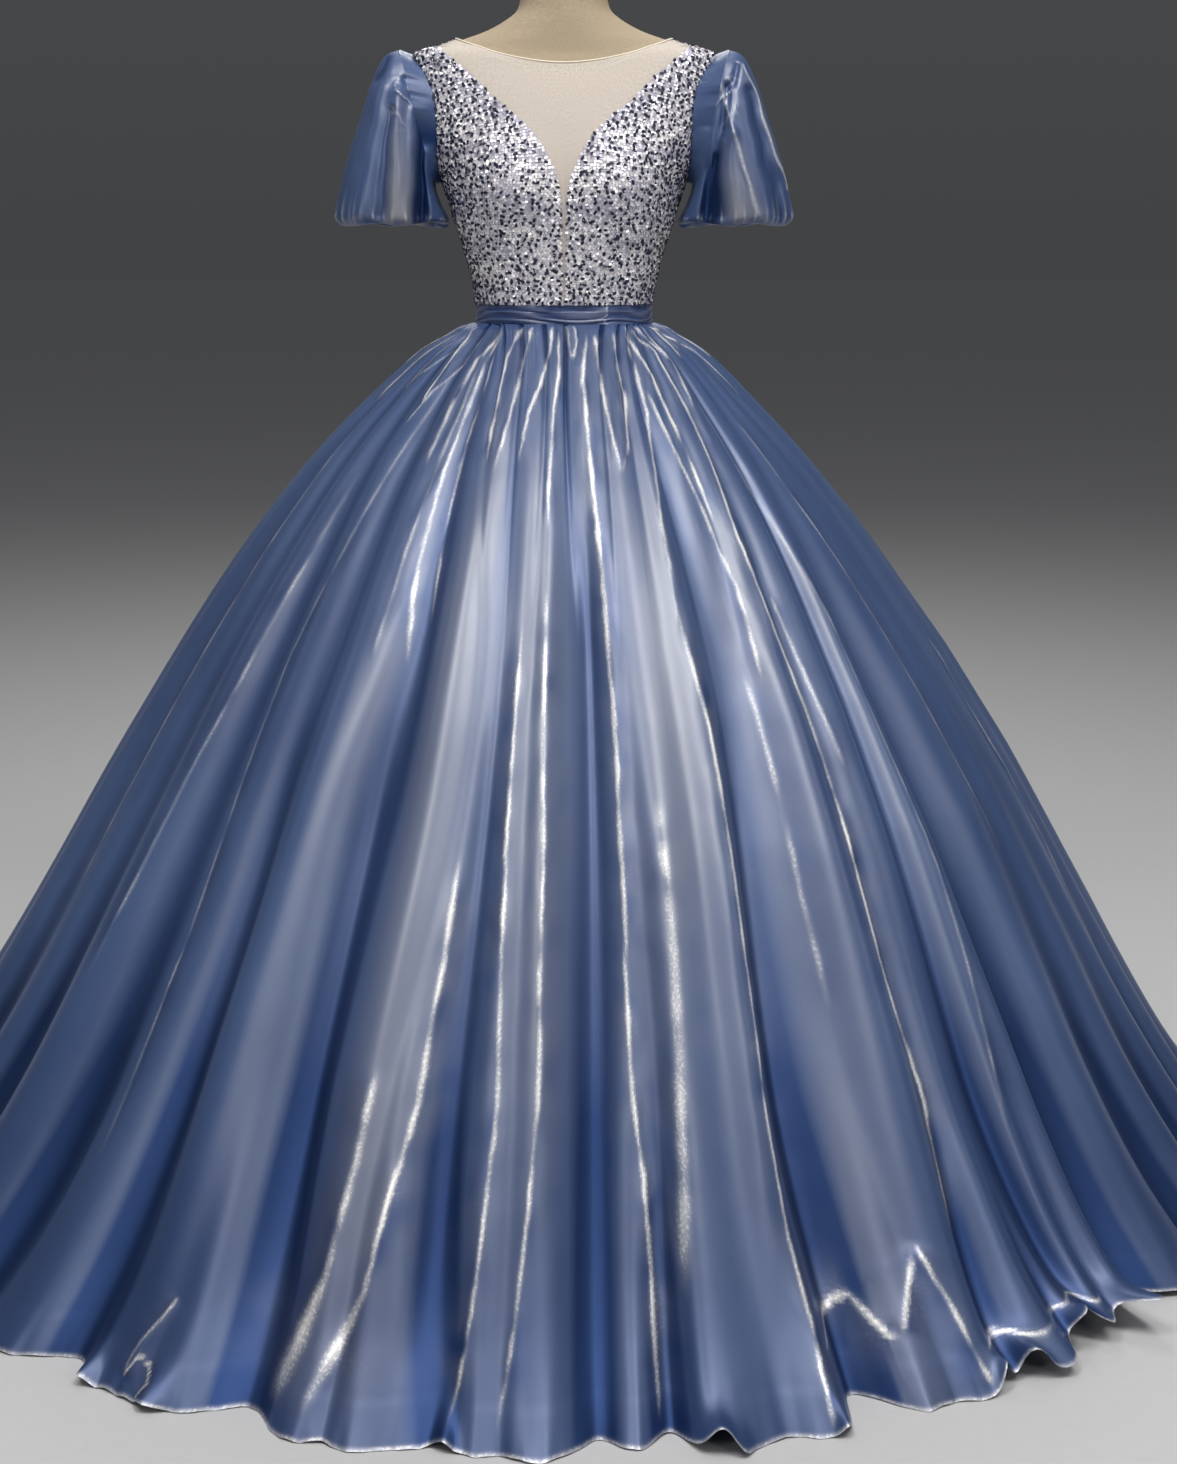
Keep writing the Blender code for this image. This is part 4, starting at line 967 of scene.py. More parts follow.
def all_folds():
    """Every valley of the skirt in order of azimuth, with the plain ones of the back added."""
    random = np.random.default_rng(BACK_FOLD_SEED)
    first, last = FRONT_FOLDS["hem"][-1], FRONT_FOLDS["hem"][0] + 360
    step = (last - first) / (BACK_FOLD_COUNT + 1)
    place = first + step * np.arange(1, BACK_FOLD_COUNT + 1)
    place = place + random.uniform(-0.14, 0.14, BACK_FOLD_COUNT) * step
    kind = np.arange(BACK_FOLD_COUNT) % len(BACK_FOLDS["mid"])
    back = {name: place for name in FOLD_LEVELS} | {"lift": np.zeros(BACK_FOLD_COUNT)}
    for name, sizes in BACK_FOLDS.items():
        back[name] = sizes[kind] * random.uniform(0.85, 1.15, BACK_FOLD_COUNT)
    folds = {name: np.append(FRONT_FOLDS[name], back[name]) for name in FRONT_FOLDS}
    return folds | {"waist": waist_place(folds["top"])}


def between_folds(azimuths, column):
    """Azimuths at column numbers. Number 3.5 is half way between the valleys 3 and 4."""
    count = azimuths.shape[-1]
    number = np.floor(column).astype(int)
    here, after = (azimuths[..., n % count] + 360 * (n // count) for n in (number, number + 1))
    return here + (after - here) * (column - number)


def nearest_crest(azimuth, folds):
    """The column half way between two valleys whose hem is nearest to this azimuth."""
    count = len(folds["hem"])
    crests = np.arange(-count, count) + 0.5
    return crests[np.argmin(np.abs(between_folds(folds["hem"], crests) - azimuth))]


def valley(azimuth, centre, before, after):
    """A fold's section: 1 along its centre, with its own half width on each side."""
    away = signed(azimuth - centre)
    return bell(away / np.where(away < 0, before, after))


def soft_folds(azimuth, share):
    """Depth in millimetres of the broad soft folds, and the painted sheen on the swells."""
    depth, glow = np.zeros(azimuth.shape), np.zeros(azimuth.shape)
    centres = fold_azimuths(SOFT_FOLDS, share[:, 0])
    for index, full in enumerate(SOFT_FOLDS["depth"]):
        start, end, width = (SOFT_FOLDS[name][index] for name in ("start", "end", "width"))
        begun = smooth(share, start - SOFT_ENDS, start + SOFT_ENDS)
        ended = smooth(share, end - SOFT_ENDS, end + SOFT_ENDS)
        shape = begun * (1 - ended) * valley(azimuth, centres[:, index, None], width, width)
        depth += full * shape
        glow += max(-full, 0) * SWELL_GLOW * shape
    return depth, glow


def fold_azimuths(folds, share):
    """The valleys' azimuths, a row for each share of the skirt's length."""
    levels = np.array([folds[name] for name in FOLD_LEVELS])
    place = np.interp(share, list(FOLD_LEVELS.values()), np.arange(len(levels)))
    return np.stack([between_rows(column, place) for column in levels.T], axis=1)


def fold_depth(azimuth, waist_azimuth, folds, centres, share):
    """How far the cloth lies inside the skirt's outer line, as the sum of its valleys."""
    depth = np.zeros(azimuth.shape)
    broader = 1 + BROADER * np.sin(math.pi * share)
    for index, waist in enumerate(folds["waist"]):
        fold = folds["mid"][index] * np.sin(math.pi * share**MID_SHIFT)
        fold = fold + folds["hem_depth"][index] * share**HEM_RISE
        before, after = (folds[side][index] * broader for side in ("before", "after"))
        shape = valley(azimuth, centres[:, index, None], before, after)
        gather = GATHER_DEPTH * folds["gather"][index] * np.exp(-share / GATHER_FADE)
        depth += fold * shape + gather * valley(waist_azimuth, waist, GATHER_WIDTH, GATHER_WIDTH)
    return depth


def small_gathers(waist_azimuth, share):
    """Fine gathers under the belt, each with its own width, depth and length."""
    random, count = np.random.default_rng(31), SMALL_GATHERS
    centres = (np.arange(count) + random.uniform(-0.35, 0.35, count)) * 360 / count
    widths = random.uniform(*SMALL_WIDTHS, count)
    depths = random.uniform(*SMALL_DEPTHS, count)
    lengths = random.uniform(*SMALL_LENGTHS, count) * np.where(np.arange(count) % 7 == 3, 2.0, 1.0)
    depth = np.zeros(np.broadcast_shapes(waist_azimuth.shape, share.shape))
    for centre, width, deep, length in zip(centres, widths, depths, lengths):
        depth += deep * np.exp(-share / length) * valley(waist_azimuth, centre, width, width)
    return depth


def all_creases():
    """The creases of the front, and similar ones strewn over the back."""
    random = np.random.default_rng(5)
    creases = list(CREASES)
    for azimuth in spread(78, 282, BACK_CREASES):
        start, length = random.uniform(0.02, 0.5), random.uniform(0.25, 0.5)
        drift = np.cumsum(random.uniform(-1.2, 1.2, 4))
        shares = spread(start, min(start + length, 0.995), 4)
        points = np.stack([azimuth + random.uniform(-3, 3) + drift, shares], axis=1)
        creases.append((random.uniform(1.4, 3.0), 3.6, random.choice([-1, 1]), points))
    for waist in spread(62, 298, GATHER_CREASES) + random.uniform(-3, 3, GATHER_CREASES):
        azimuth = own_place(waist)
        start, length = random.uniform(0.002, 0.012), random.uniform(0.03, 0.13)
        drift = random.uniform(-0.4, 0.4, 3)
        points = np.stack([azimuth + drift, spread(start, start + length, 3)], axis=1)
        creases.append((random.uniform(1.2, 3.4), 2.2, random.choice([-1, 1]), points))
    return creases


def crease_distance(across, down, out, corners, slant):
    """Distance in metres from a crease's line through its points, the side, and the progress.

    Each grid point takes the nearest of the line's straight steps. Side is 1 or -1, and
    progress runs from 0 to 1 along the line.
    """
    nearest = np.full(across.shape, 1e9)
    side, progress = np.zeros(across.shape), np.zeros(across.shape)
    steps = np.diff(corners, axis=0)
    lengths = np.hypot(np.radians(steps[:, 0]) * 0.5, steps[:, 1] * slant)
    done = np.append(0, np.cumsum(lengths)) / lengths.sum()
    for start, step, begin, end in zip(corners[:-1], steps, done[:-1], done[1:]):
        x = np.radians(across - start[0]) * out
        y = down - start[1] * slant
        run = np.radians(step[0]) * out
        fall = step[1] * slant
        length = np.hypot(run, fall)
        part = np.clip((x * run + y * fall) / length**2, 0, 1)
        away = np.hypot(x - run * part, y - fall * part)
        nearer = away < nearest
        nearest = np.where(nearer, away, nearest)
        cross = (x * fall - y * run) / length
        side = np.where(nearer, np.sign(cross) * np.sign(fall if fall else 1), side)
        progress = np.where(nearer, begin + (end - begin) * part, progress)
    return nearest, side, progress


def crease_field(azimuth, share, radius, slant):
    """Height of the creases in millimetres, and their painted highlight and painted shade, over
    the grid.

    Each crease is a line through its points. Its section is a sharp crest whose flanks fall
    away on a curve, further on the shaded side, and it fades out at both ends.
    """
    height, gleam, shade = (np.zeros(azimuth.shape) for _ in range(3))
    wander, flicker, jagged = Waves(11, 0.16), Waves(12, 0.05), Waves(13, 0.022)
    for number, (rise, width, falls, points) in enumerate(all_creases()):
        corners = np.array(points, float).reshape(-1, 2)
        middle, half = corners[:, 0].mean(), np.ptp(corners[:, 0]) / 2
        turned = signed(azimuth - middle) + middle
        columns = np.flatnonzero((np.abs(turned - middle) < half + CREASE_REACH).any(axis=0))
        across, down = turned[:, columns], share * slant
        out = radius[:, columns]
        nearest, side, progress = crease_distance(across, down, out, corners, slant)
        where = xyz(down + number + 0 * across, across * 0.02, 0.0)
        away = nearest * side * falls / MM + wander.at(where) * WANDER + jagged.at(where) * JAGGED
        starts, fades = CREASE_ENDS
        ends = np.clip(progress / starts, 0, 1) * np.clip((1 - progress) / fades, 0, 1)
        strength = ends * ends * (3 - 2 * ends) * (0.75 + 0.35 * wander.at(where * 1.7))
        flank = width * np.where(away > 0, SHADED_FLANK, LIT_FLANK)
        slope = np.exp(-np.abs(away) / flank)
        height[:, columns] += strength * rise * slope
        # Painted shade on the flank where the cloth falls away.
        dark = slope * (1 - bell(away / width)) * (away > 0)
        depth = FLANK_SHADE * max(rise, LEAST_SHADED) * strength * dark
        shade[:, columns] = np.maximum(shade[:, columns], depth)
        # Painted highlight: a bright line on the crest and a soft glow on both flanks.
        crinkled = 1 + CRINKLE * smooth(share, *CRINKLE_ZONE) * (number in CRINKLED)
        away = away / crinkled
        glint = bell(away / (CREST_WIDTH * width)) + GLOW * np.exp(-np.abs(away) / flank)
        glint = glint * strength * (rise / FULL_GLEAM) ** GLEAM_GROWTH
        glint = glint * np.clip(0.80 + 0.6 * flicker.at(where) / crinkled, 0, 1)
        gleam[:, columns] = np.maximum(gleam[:, columns], glint)
    return height, np.clip(gleam, 0, 1), shade


# Curls of the loose hem: azimuth, half width in degrees, rise and push outwards in millimetres.
CURLS = table(
    "azimuth width rise out",
    (8.9, 1.0, 30, 6),
    (10.2, 0.7, 0, 14),
    (16.6, 0.5, 14, 8),
    (-25.5, 0.9, 10, 12),
    (-6.9, 0.6, 10, 8),
    (28.4, 0.8, 30, 4),
    (29.5, 0.7, 0, 14),
    (30.7, 0.9, 32, 4),
    (33.2, 1.6, 0, 14),
    (36.2, 1.2, 28, 4),
    (37.9, 0.8, 0, 14),
    (41.5, 1.6, 30, 30),
    (-31.0, 0.7, 12, 14),
    (62.0, 1.2, 12, 14),
    (-52.0, 1.2, 10, 10),
    (118.0, 1.4, 14, 14),
    (161.0, 1.2, 16, 16),
    (204.0, 1.4, 14, 14),
    (243.0, 1.2, 14, 12),
)
CURL_HEIGHT = 0.028  # how far up a curl reaches
RIPPLE_HEIGHT = 0.030
BROAD_RIPPLE, FINE_RIPPLE, HEM_LIFT = 3.0, 2.0, 2.2  # millimetres
HEM_BAND = 0.050  # width of the doubled hem
BAND_STEP = 0.3  # millimetres that it stands out
STITCH_DEPTH, STITCH_WIDTH = 0.4, 0.0040  # the groove of its stitches, in millimetres and metres
EDGE_GLEAM, EDGE_WIDTH = 0.45, 0.0032  # a painted highlight along its pressed edge
HEM_SHADE = 0.5  # how much painted shade deepens the colour towards the hem


def hem_detail(azimuth, share, slant):
    """Radial and vertical millimetres of the hem's ripples, curls and band."""
    up = (1 - share) * slant
    near = np.exp(-up / RIPPLE_HEIGHT)
    ring = np.radians(azimuth)
    where = xyz(np.sin(ring), np.cos(ring), 0.0)
    out = BROAD_RIPPLE * near * Waves(21, 0.060).at(where)
    out = out + FINE_RIPPLE * near * Waves(22, 0.022).at(where)
    rise = HEM_LIFT * near * np.abs(Waves(23, 0.045).at(where))
    for place, width, lifted, pushed in zip(*CURLS.values()):
        curl = valley(azimuth, place, width, width) * np.exp(-((up / CURL_HEIGHT) ** 1.5))
        out = out + pushed * curl
        rise = rise + lifted * curl
    stitches = STITCH_DEPTH * bell((up - HEM_BAND) / STITCH_WIDTH)
    return out - stitches + BAND_STEP * (up < HEM_BAND), rise


HOLLOW_DEPTH = 13.0  # millimetres of depth at which the painted shade in a fold is full
GATHER_HOLLOW = 2.6  # the same for the gathers at the belt
HOLLOW_REACH = 40  # columns
HOLLOW_SHOWN = table(  # how much of the painted fold shade shows down the skirt
    "share shown",
    (0.00, 1.00),
    (0.24, 0.90),
    (0.40, 0.55),
    (0.60, 0.60),
    (0.80, 1.00),
    (1.00, 1.00),
)


def hollows(depth, share):
    """How far each place lies inside the mean over a stretch of its row, from 0 to 1: the painted
    shade in the folds.
    """
    reach = HOLLOW_REACH
    full = GATHER_HOLLOW + (HOLLOW_DEPTH - GATHER_HOLLOW) * np.clip(share / 0.3, 0, 1)
    row = np.cumsum(np.concatenate([depth[:, -reach:], depth, depth[:, :reach]], axis=1), axis=1)
    mean = (row[:, 2 * reach:] - row[:, :-2 * reach]) / (2 * reach)
    return np.clip((depth - mean) / full, 0, 1)


def skirt_columns(folds):
    """Column numbers of the grid, on which a valley is a whole number, and each gore's first."""
    starts = [nearest_crest(start, folds) for _, start, _ in GORES]
    ends = [*starts[1:], starts[0] + len(folds["hem"])]
    hem_columns = np.arange(-len(folds["hem"]), 2 * len(folds["hem"]))
    low = between_folds(folds["low"], hem_columns)
    columns, first = [], [0]
    for (_, _, count), start, end in zip(GORES, starts, ends):
        azimuths = spread(*np.interp([start, end], hem_columns, low), count + 1)
        columns.append(np.interp(azimuths, low, hem_columns)[:-1])
        first.append(first[-1] + count)
    return np.concatenate(columns), first


def skirt_rows():
    """Fractional rows of the skirt's table, their shares of the length, and the length."""
    slants = np.hypot(np.diff(SKIRT["side"]), np.diff(SKIRT["height"]))
    slant = slants.sum()
    shares = np.append(np.cumsum(slants[::-1])[::-1], 0) / slant
    t = spread(1, 0, SKIRT_ROWS)
    wanted = EVEN_ROWS * t + (1 - EVEN_ROWS) * (1 - np.cos(math.pi * t)) / 2
    row = np.interp(wanted, shares[::-1], np.arange(len(shares))[::-1])
    return row, np.clip(between_rows(shares, row), 0, 1), slant


def skirt_grid(folds):
    """The whole skirt as one grid, with values for its painted highlight, shade and sheen, and
    each gore's first column.

    Each row is a squared ellipse that leans to one side. The folds, creases, gathers and
    ripples move its points in or out, and the curls of the hem lift them.
    """
    column, first = skirt_columns(folds)
    row, share, slant = skirt_rows()
    centres = fold_azimuths(folds, share)
    own = between_folds(centres, column)
    waist = between_folds(folds["waist"], column)
    height, side, front, power = (between_rows(SKIRT[name], row)[:, None] for name in SKIRT)
    share = share[:, None]
    fan = np.exp((SKIRT["side"][-1] - side) / FAN_LENGTH)
    azimuth = np.radians(own + (waist - own) * fan)
    sine, cosine = np.sin(azimuth), np.cos(azimuth)
    line = (np.abs(sine / side) ** power + np.abs(cosine / front) ** power) ** (-1 / power)
    line = line * (1 + SKIRT_LEAN * share**2 * np.cos(azimuth - SKIRT_LEAN_ANGLE))
    drop = np.interp(share, LEFT_DROP["share"], LEFT_DROP["drop"])
    line = line * (1 - drop * ((1 + sine) / 2) ** 2)
    stretch = np.gradient(azimuth, axis=1) / np.gradient(np.radians(own), axis=1)
    ridges, gleam, shade = crease_field(own, share, line * stretch, slant)
    ripple, rise = hem_detail(own, share, slant)
    pinched = 1 - PINCH_DEPTH * np.exp(-share / PINCH)
    depth = fold_depth(own, waist, folds, centres, share) + small_gathers(waist, share)
    broad, glow = soft_folds(own, share)
    depth = depth * pinched + broad
    where = xyz(line * sine, line * cosine, height)
    sway = SWAY * Waves(41, 0.22).at(where * (1.0, 1.0, 0.25)) * np.sin(math.pi * share) ** 0.5
    radius = line + CLOTH / 2 + MM * (ridges + ripple + sway - depth)
    count = len(folds["lift"])
    lift = np.interp(column, np.arange(count), folds["lift"], period=count) * share**LIFT_RISE
    points = xyz(radius * sine, -radius * cosine, height + MM * (lift + rise))
    # Painted highlight along the hem's edge.
    gleam = np.maximum(gleam, EDGE_GLEAM * bell((1 - share) * slant / EDGE_WIDTH))
    shown = np.interp(share, HOLLOW_SHOWN["share"], HOLLOW_SHOWN["shown"])
    # Painted shade, deeper towards the hem.
    hem_shade = HEM_SHADE * smooth(share, 0.7, 1)
    # Painted shade: in the folds, on the creases' shaded flanks and towards the hem.
    painted_shade = np.clip(np.maximum(hollows(depth, share) * shown, shade) + hem_shade, 0, 1)
    return points, {"gleam": gleam, "painted_shade": painted_shade, "glow": glow}, first


def add_skirt(material):
    """Seven gores cut out of one grid, so that neighbours share their edge and its normals."""
    points, layers, first = skirt_grid(all_folds())
    normals = grid_normals(points, wrap_columns=True)
    points, normals = closed(points), closed(normals)
    layers = {layer: closed(values) for layer, values in layers.items()}
    place = cloth_lengths(points)
    for (name, _, _), start, end in zip(GORES, first[:-1], first[1:]):
        part = slice(start, end + 1)
        gore = points[:, part]
        piece = grid_piece(
            name + "_organza",
            gore,
            material,
            normals=normals[:, part],
            layers={layer: values[:, part] for layer, values in layers.items()},
            cloth_uv=place[:, part],
        )
        wear(piece, "organza", name)


# The bodice

def bilinear(grid, across, along):
    """A grid read at fractions across its columns and along its rows."""
    rows, columns = grid.shape[:2]
    x, y = across * (columns - 1), along * (rows - 1)
    i, j = np.clip(x.astype(int), 0, columns - 2), np.clip(y.astype(int), 0, rows - 2)
    u, v = (x - i)[..., None], (y - j)[..., None]
    lower = grid[j, i] * (1 - u) + grid[j, i + 1] * u
    upper = grid[j + 1, i] * (1 - u) + grid[j + 1, i + 1] * u
    return lower * (1 - v) + upper * v


DISC_SIDES = 6
SEQUIN_RADIUS = 0.00225
SEQUIN_PITCH = 0.0037
SPECK_PITCH = 0.0072
SPECK_LENGTH, SPECK_WIDTH = 0.0036, 0.0023  # half sizes
SEQUIN_LIFT, SEQUIN_LOOSE = 0.0004, 0.0006  # off the cloth, and how much more for some
SPECK_LIFT = 0.0014
SEQUIN_TILT = 0.24
SEQUIN_STRAY, SPECK_STRAY = 0.22, 0.42  # how far out of line, as a share of the pitch
BINDING_COLUMNS = 10


def sequin_places(grid, seed, pitch, stray):
    """Staggered rows of sequins over a panel, each a little out of line."""
    random = np.random.default_rng(seed)
    surface = bodice_point(grid, CLOTH)
    length = steps_along(surface).sum(axis=0).mean()
    along = spread(0.006, 0.994, int(length / pitch))
    widths = steps_across(surface).sum(axis=1)
    counts = (np.interp(along, spread(0, 1, len(widths)), widths) / pitch).astype(int)
    line = np.repeat(np.arange(len(along)), counts)
    order = np.arange(counts.sum()) - np.repeat(np.cumsum(counts) - counts, counts)
    across = (order + 0.25 + 0.5 * (line % 2)) / counts[line]
    across = across + random.uniform(-stray, stray, len(line)) / counts[line]
    down = along[line] + random.uniform(-stray, stray, len(line)) * (along[1] - along[0])
    return bilinear(grid, np.clip(across, 0.004, 0.996), np.clip(down, 0.003, 0.997))


def sequin_tones(points, seed):
    """Pale tones, with a little painted shade in level streaks where the cloth wrinkles."""
    random = np.random.default_rng(seed)
    wrinkle_shade = Waves(51, 0.09).at(points * (0.5, 0.5, 2.4))
    return np.clip(random.uniform(0.45, 1.0, len(points)) + 0.22 * wrinkle_shade, 0.31, 1)


def speck_chance(points):
    """How many of the navy specks show: most at the shoulders and sides, fewest on the bust."""
    high = smooth(points[:, 2], 1.325, 1.40)
    low = smooth(-points[:, 2], -1.22, -1.15)
    side = smooth(np.abs(points[:, 0]), 0.09, 0.135)
    return 0.62 + 0.36 * np.maximum(high, side) + 0.22 * low + 0.15 * Waves(52, 0.03).at(points)


def discs(centre, normal, long, wide, random):
    """Six-sided discs that lie round their centres, each turned and tilted its own way."""
    count = len(centre)
    normal = unit(normal + SEQUIN_TILT * random.normal(size=(count, 3)))
    level = unit(np.cross(normal, random.normal(size=(count, 3))))
    upward = np.cross(normal, level)
    turn = all_round(DISC_SIDES)[:, None]
    size = random.uniform(0.82, 1.08, (count, 1, 1))
    rim = long * level[:, None] * np.cos(turn) + wide * upward[:, None] * np.sin(turn)
    return centre[:, None] + size * rim


def add_sequins(name, grid, mirror, material, seed):
    """Pale sequins all over a panel, and long navy ones strewn over them."""
    random = np.random.default_rng(seed + 100)
    place = sequin_places(grid, seed, SEQUIN_PITCH, SEQUIN_STRAY)
    lift = CLOTH + SEQUIN_LIFT + random.uniform(0, SEQUIN_LOOSE, len(place))
    centre = bodice_point(place, lift)
    pale = discs(centre, torso_normal(*place.T), SEQUIN_RADIUS, SEQUIN_RADIUS, random)
    dark_place = sequin_places(grid, seed + 1, SPECK_PITCH, SPECK_STRAY)
    dark_centre = bodice_point(dark_place, np.full(len(dark_place), CLOTH + SPECK_LIFT))
    shown = random.uniform(0, 1, len(dark_place)) < speck_chance(dark_centre)
    dark_normal = torso_normal(*dark_place[shown].T)
    dark = discs(dark_centre[shown], dark_normal, SPECK_LENGTH, SPECK_WIDTH, random)
    points = np.concatenate([pale, dark])
    tones = np.concatenate([sequin_tones(centre, seed), random.uniform(0, 0.15, shown.sum())])
    faces = np.arange(len(points) * DISC_SIDES).reshape(len(points), DISC_SIDES)
    if mirror:
        points = points * (-1.0, 1.0, 1.0)
        faces = faces[:, ::-1]
    layers = {"tone": np.repeat(tones, DISC_SIDES)}
    return new_mesh(name, points, faces.tolist(), material, layers=layers)


def add_bodice(ground, sequins, net, edging):
    """Four sequinned panels, each with its own sequins, and the net yoke with its bound edge."""
    grids = {"front": front_grid(), "back": back_grid()}
    for part_number, (part, grid) in enumerate(grids.items()):
        left = bodice_point(grid, CLOTH * 0.8)
        for side, points in (("left", left), ("right", mirrored(left))):
            node = f"bodice_{part}_{side}"
            piece = grid_piece(node + "_ground", points, ground, cloth_uv=cloth_lengths(points))
            seed = 60 + 10 * part_number + (5 if side == "right" else 0)
            strewn = add_sequins(node + "_sequins", grid, side == "right", sequins, seed)
            wear(strewn, "sequins")
            wear(piece, "sequins", node)
    half = bodice_point(yoke_grid(), CLOTH / 2)
    whole = np.concatenate([mirrored(half)[:, :-1], half], axis=1)
    yoke = grid_piece("neck_yoke_net", whole, net, cloth_uv=cloth_lengths(whole))
    wear(yoke, "net", "neck_yoke")
    binding = add_binding(edging)


def add_binding(material):
    """The narrow bound edge all round the neckline, as a tube along it."""
    quarter = spread(0, math.pi / 2, 50)
    front, back = neckline(quarter, FRONT_NECK), neckline(quarter, BACK_NECK)
    angle = np.concatenate([quarter, math.pi - quarter[::-1][1:]])
    row = np.concatenate([front, back[::-1][1:]])
    half = over_torso(angle, row, EASE + BINDING_RADIUS)
    route = np.concatenate([half, half[-2:0:-1] * (-1.0, 1.0, 1.0)])
    ahead = unit(np.roll(route, -1, axis=0) - np.roll(route, 1, axis=0))
    inward = unit(np.cross(ahead, (0.0, 0.0, 1.0)))
    upward = np.cross(inward, ahead)
    turn = all_round(BINDING_COLUMNS)[:, None, None]
    rings = route + BINDING_RADIUS * (inward * np.cos(turn) + upward * np.sin(turn))
    piece = grid_piece("neck_binding_edging", rings, material, wrap_columns=True, wrap_rows=True)
    return wear(piece, "edging", "neck_binding")


# Sleeves, belt and form

SLEEVE_COLUMNS = 240
SLEEVE_ROWS = 110
HEM_WAVE = 0.0035
SLEEVE_GATHERS = 34  # at the armhole, and as many again at the hem
CRUMPLE_RISE, CRUMPLE_GLEAM = 4.0, 0.8
CRUMPLE_WIDTH, CRUMPLE_HEIGHT = 0.015, 0.028


def sleeve_points(side):
    """Rings that turn from the armhole's plane to a level hem, gathered, with long folds."""
    turn = all_round(SLEEVE_COLUMNS)
    at_back = np.sin(turn) < 0
    hole_turn = np.arcsin(np.cos(turn))
    front_angle, row = armhole(hole_turn, False, SLEEVE_INSET)
    back_angle, _ = armhole(hole_turn, True, SLEEVE_INSET)
    root = over_torso(np.where(at_back, back_angle, front_angle), row, EASE + CLOTH)
    ring = spread(0, len(SLEEVE["outer_x"]) - 1, SLEEVE_ROWS)
    sizes = {name: between_rows(values, ring)[:, None] for name, values in SLEEVE.items()}
    down = spread(0, 1, SLEEVE_ROWS)[:, None]
    x = (sizes["outer_x"] + sizes["inner_x"]) / 2
    x = x + (sizes["outer_x"] - sizes["inner_x"]) / 2 * np.cos(turn)
    z = (sizes["outer_z"] + sizes["inner_z"]) / 2
    z = z + (sizes["outer_z"] - sizes["inner_z"]) / 2 * np.cos(turn)
    place = xyz(x, z, np.where(at_back, 0.3, 0.0))
    z = z + HEM_WAVE * Waves(74, 0.055).at(place) * smooth(down, 0.5, 0.75)
    away = np.abs(np.mod(turn + math.pi, 2 * math.pi) - math.pi) - FURROW_ANGLE
    furrow = sizes["furrow"] * bell(away / FURROW_SPREAD)
    fine, gleam = sleeve_gathers(turn[None], down)
    long, crests, glow = sleeve_folds(x + BACK_SHIFT * at_back, z, SLEEVE_FOLDS[side])
    # Painted highlight on the sharp crests, fading out at the armhole and towards the hem.
    gleam = np.maximum(gleam, crests * np.sin(math.pi * np.clip(down / 0.72, 0, 1)) ** 0.3)
    ripple = fine * MM
    furrow = furrow - long * MM
    bulge = np.abs(np.sin(turn))
    depth = sizes["half_depth"] * bulge**0.9 + (ripple - furrow) * bulge**0.5
    y = -np.sign(np.round(np.sin(turn), 9)) * depth
    x = x + ripple * np.cos(turn)
    points = np.concatenate([root[None], xyz(x, y, z)])
    # Painted shade in the furrows.
    painted_shade = np.clip((furrow / MM - ripple / MM) / HOLLOW_DEPTH, 0, 1)
    layers = {"gleam": gleam, "painted_shade": painted_shade, "glow": glow}
    return points, {layer: np.concatenate([a[:1], a]) for layer, a in layers.items()}


def crumple(x, z):
    """A net of small crisp ridges where a puff's head is bunched, and the painted highlight on
    them.
    """
    place = xyz(x, z, 0.0)
    ridge = np.abs(Waves(71, 0.034).at(place) + 0.5 * Waves(72, 0.016).at(place))
    across, up = (x - CRUMPLE_X) / CRUMPLE_WIDTH, (z - CRUMPLE_Z) / CRUMPLE_HEIGHT
    near = np.exp(-(across**2) - up**2)
    return CRUMPLE_RISE * near * np.exp(-ridge / 0.3), CRUMPLE_GLEAM * near * bell(ridge / 0.10)


def sleeve_folds(x, z, folds):
    """Ridges and furrows in millimetres along lines down a puff, a painted highlight on sharp ones
    and a painted sheen where a fold glows.
    """
    height, gleam = crumple(x, z)
    pale = 0 * gleam
    place = xyz(x, z, 0.0)
    x = x + 0.0030 * Waves(73, 0.065).at(place)
    sharpness = 2.0 + 1.2 * Waves(75, 0.04).at(place)
    for start_x, start_z, end_x, end_z, narrow, broad, rise, sharp, glow in zip(*folds.values()):
        run, fall = end_x - start_x, end_z - start_z
        part = np.clip(((x - start_x) * run + (z - start_z) * fall) / (run**2 + fall**2), 0, 1)
        away = np.hypot(x - start_x - run * part, z - start_z - fall * part) / MM
        width = narrow + (broad - narrow) * part
        height += FOLD_GROWTH * rise * np.exp(-((away / width) ** (1.2 if sharp else 2)))
        gleam = np.maximum(gleam, 0.7 * sharp * bell(away / np.maximum(sharpness, 1)))
        pale = pale + glow * part * bell(away / width)
    return height, gleam, pale


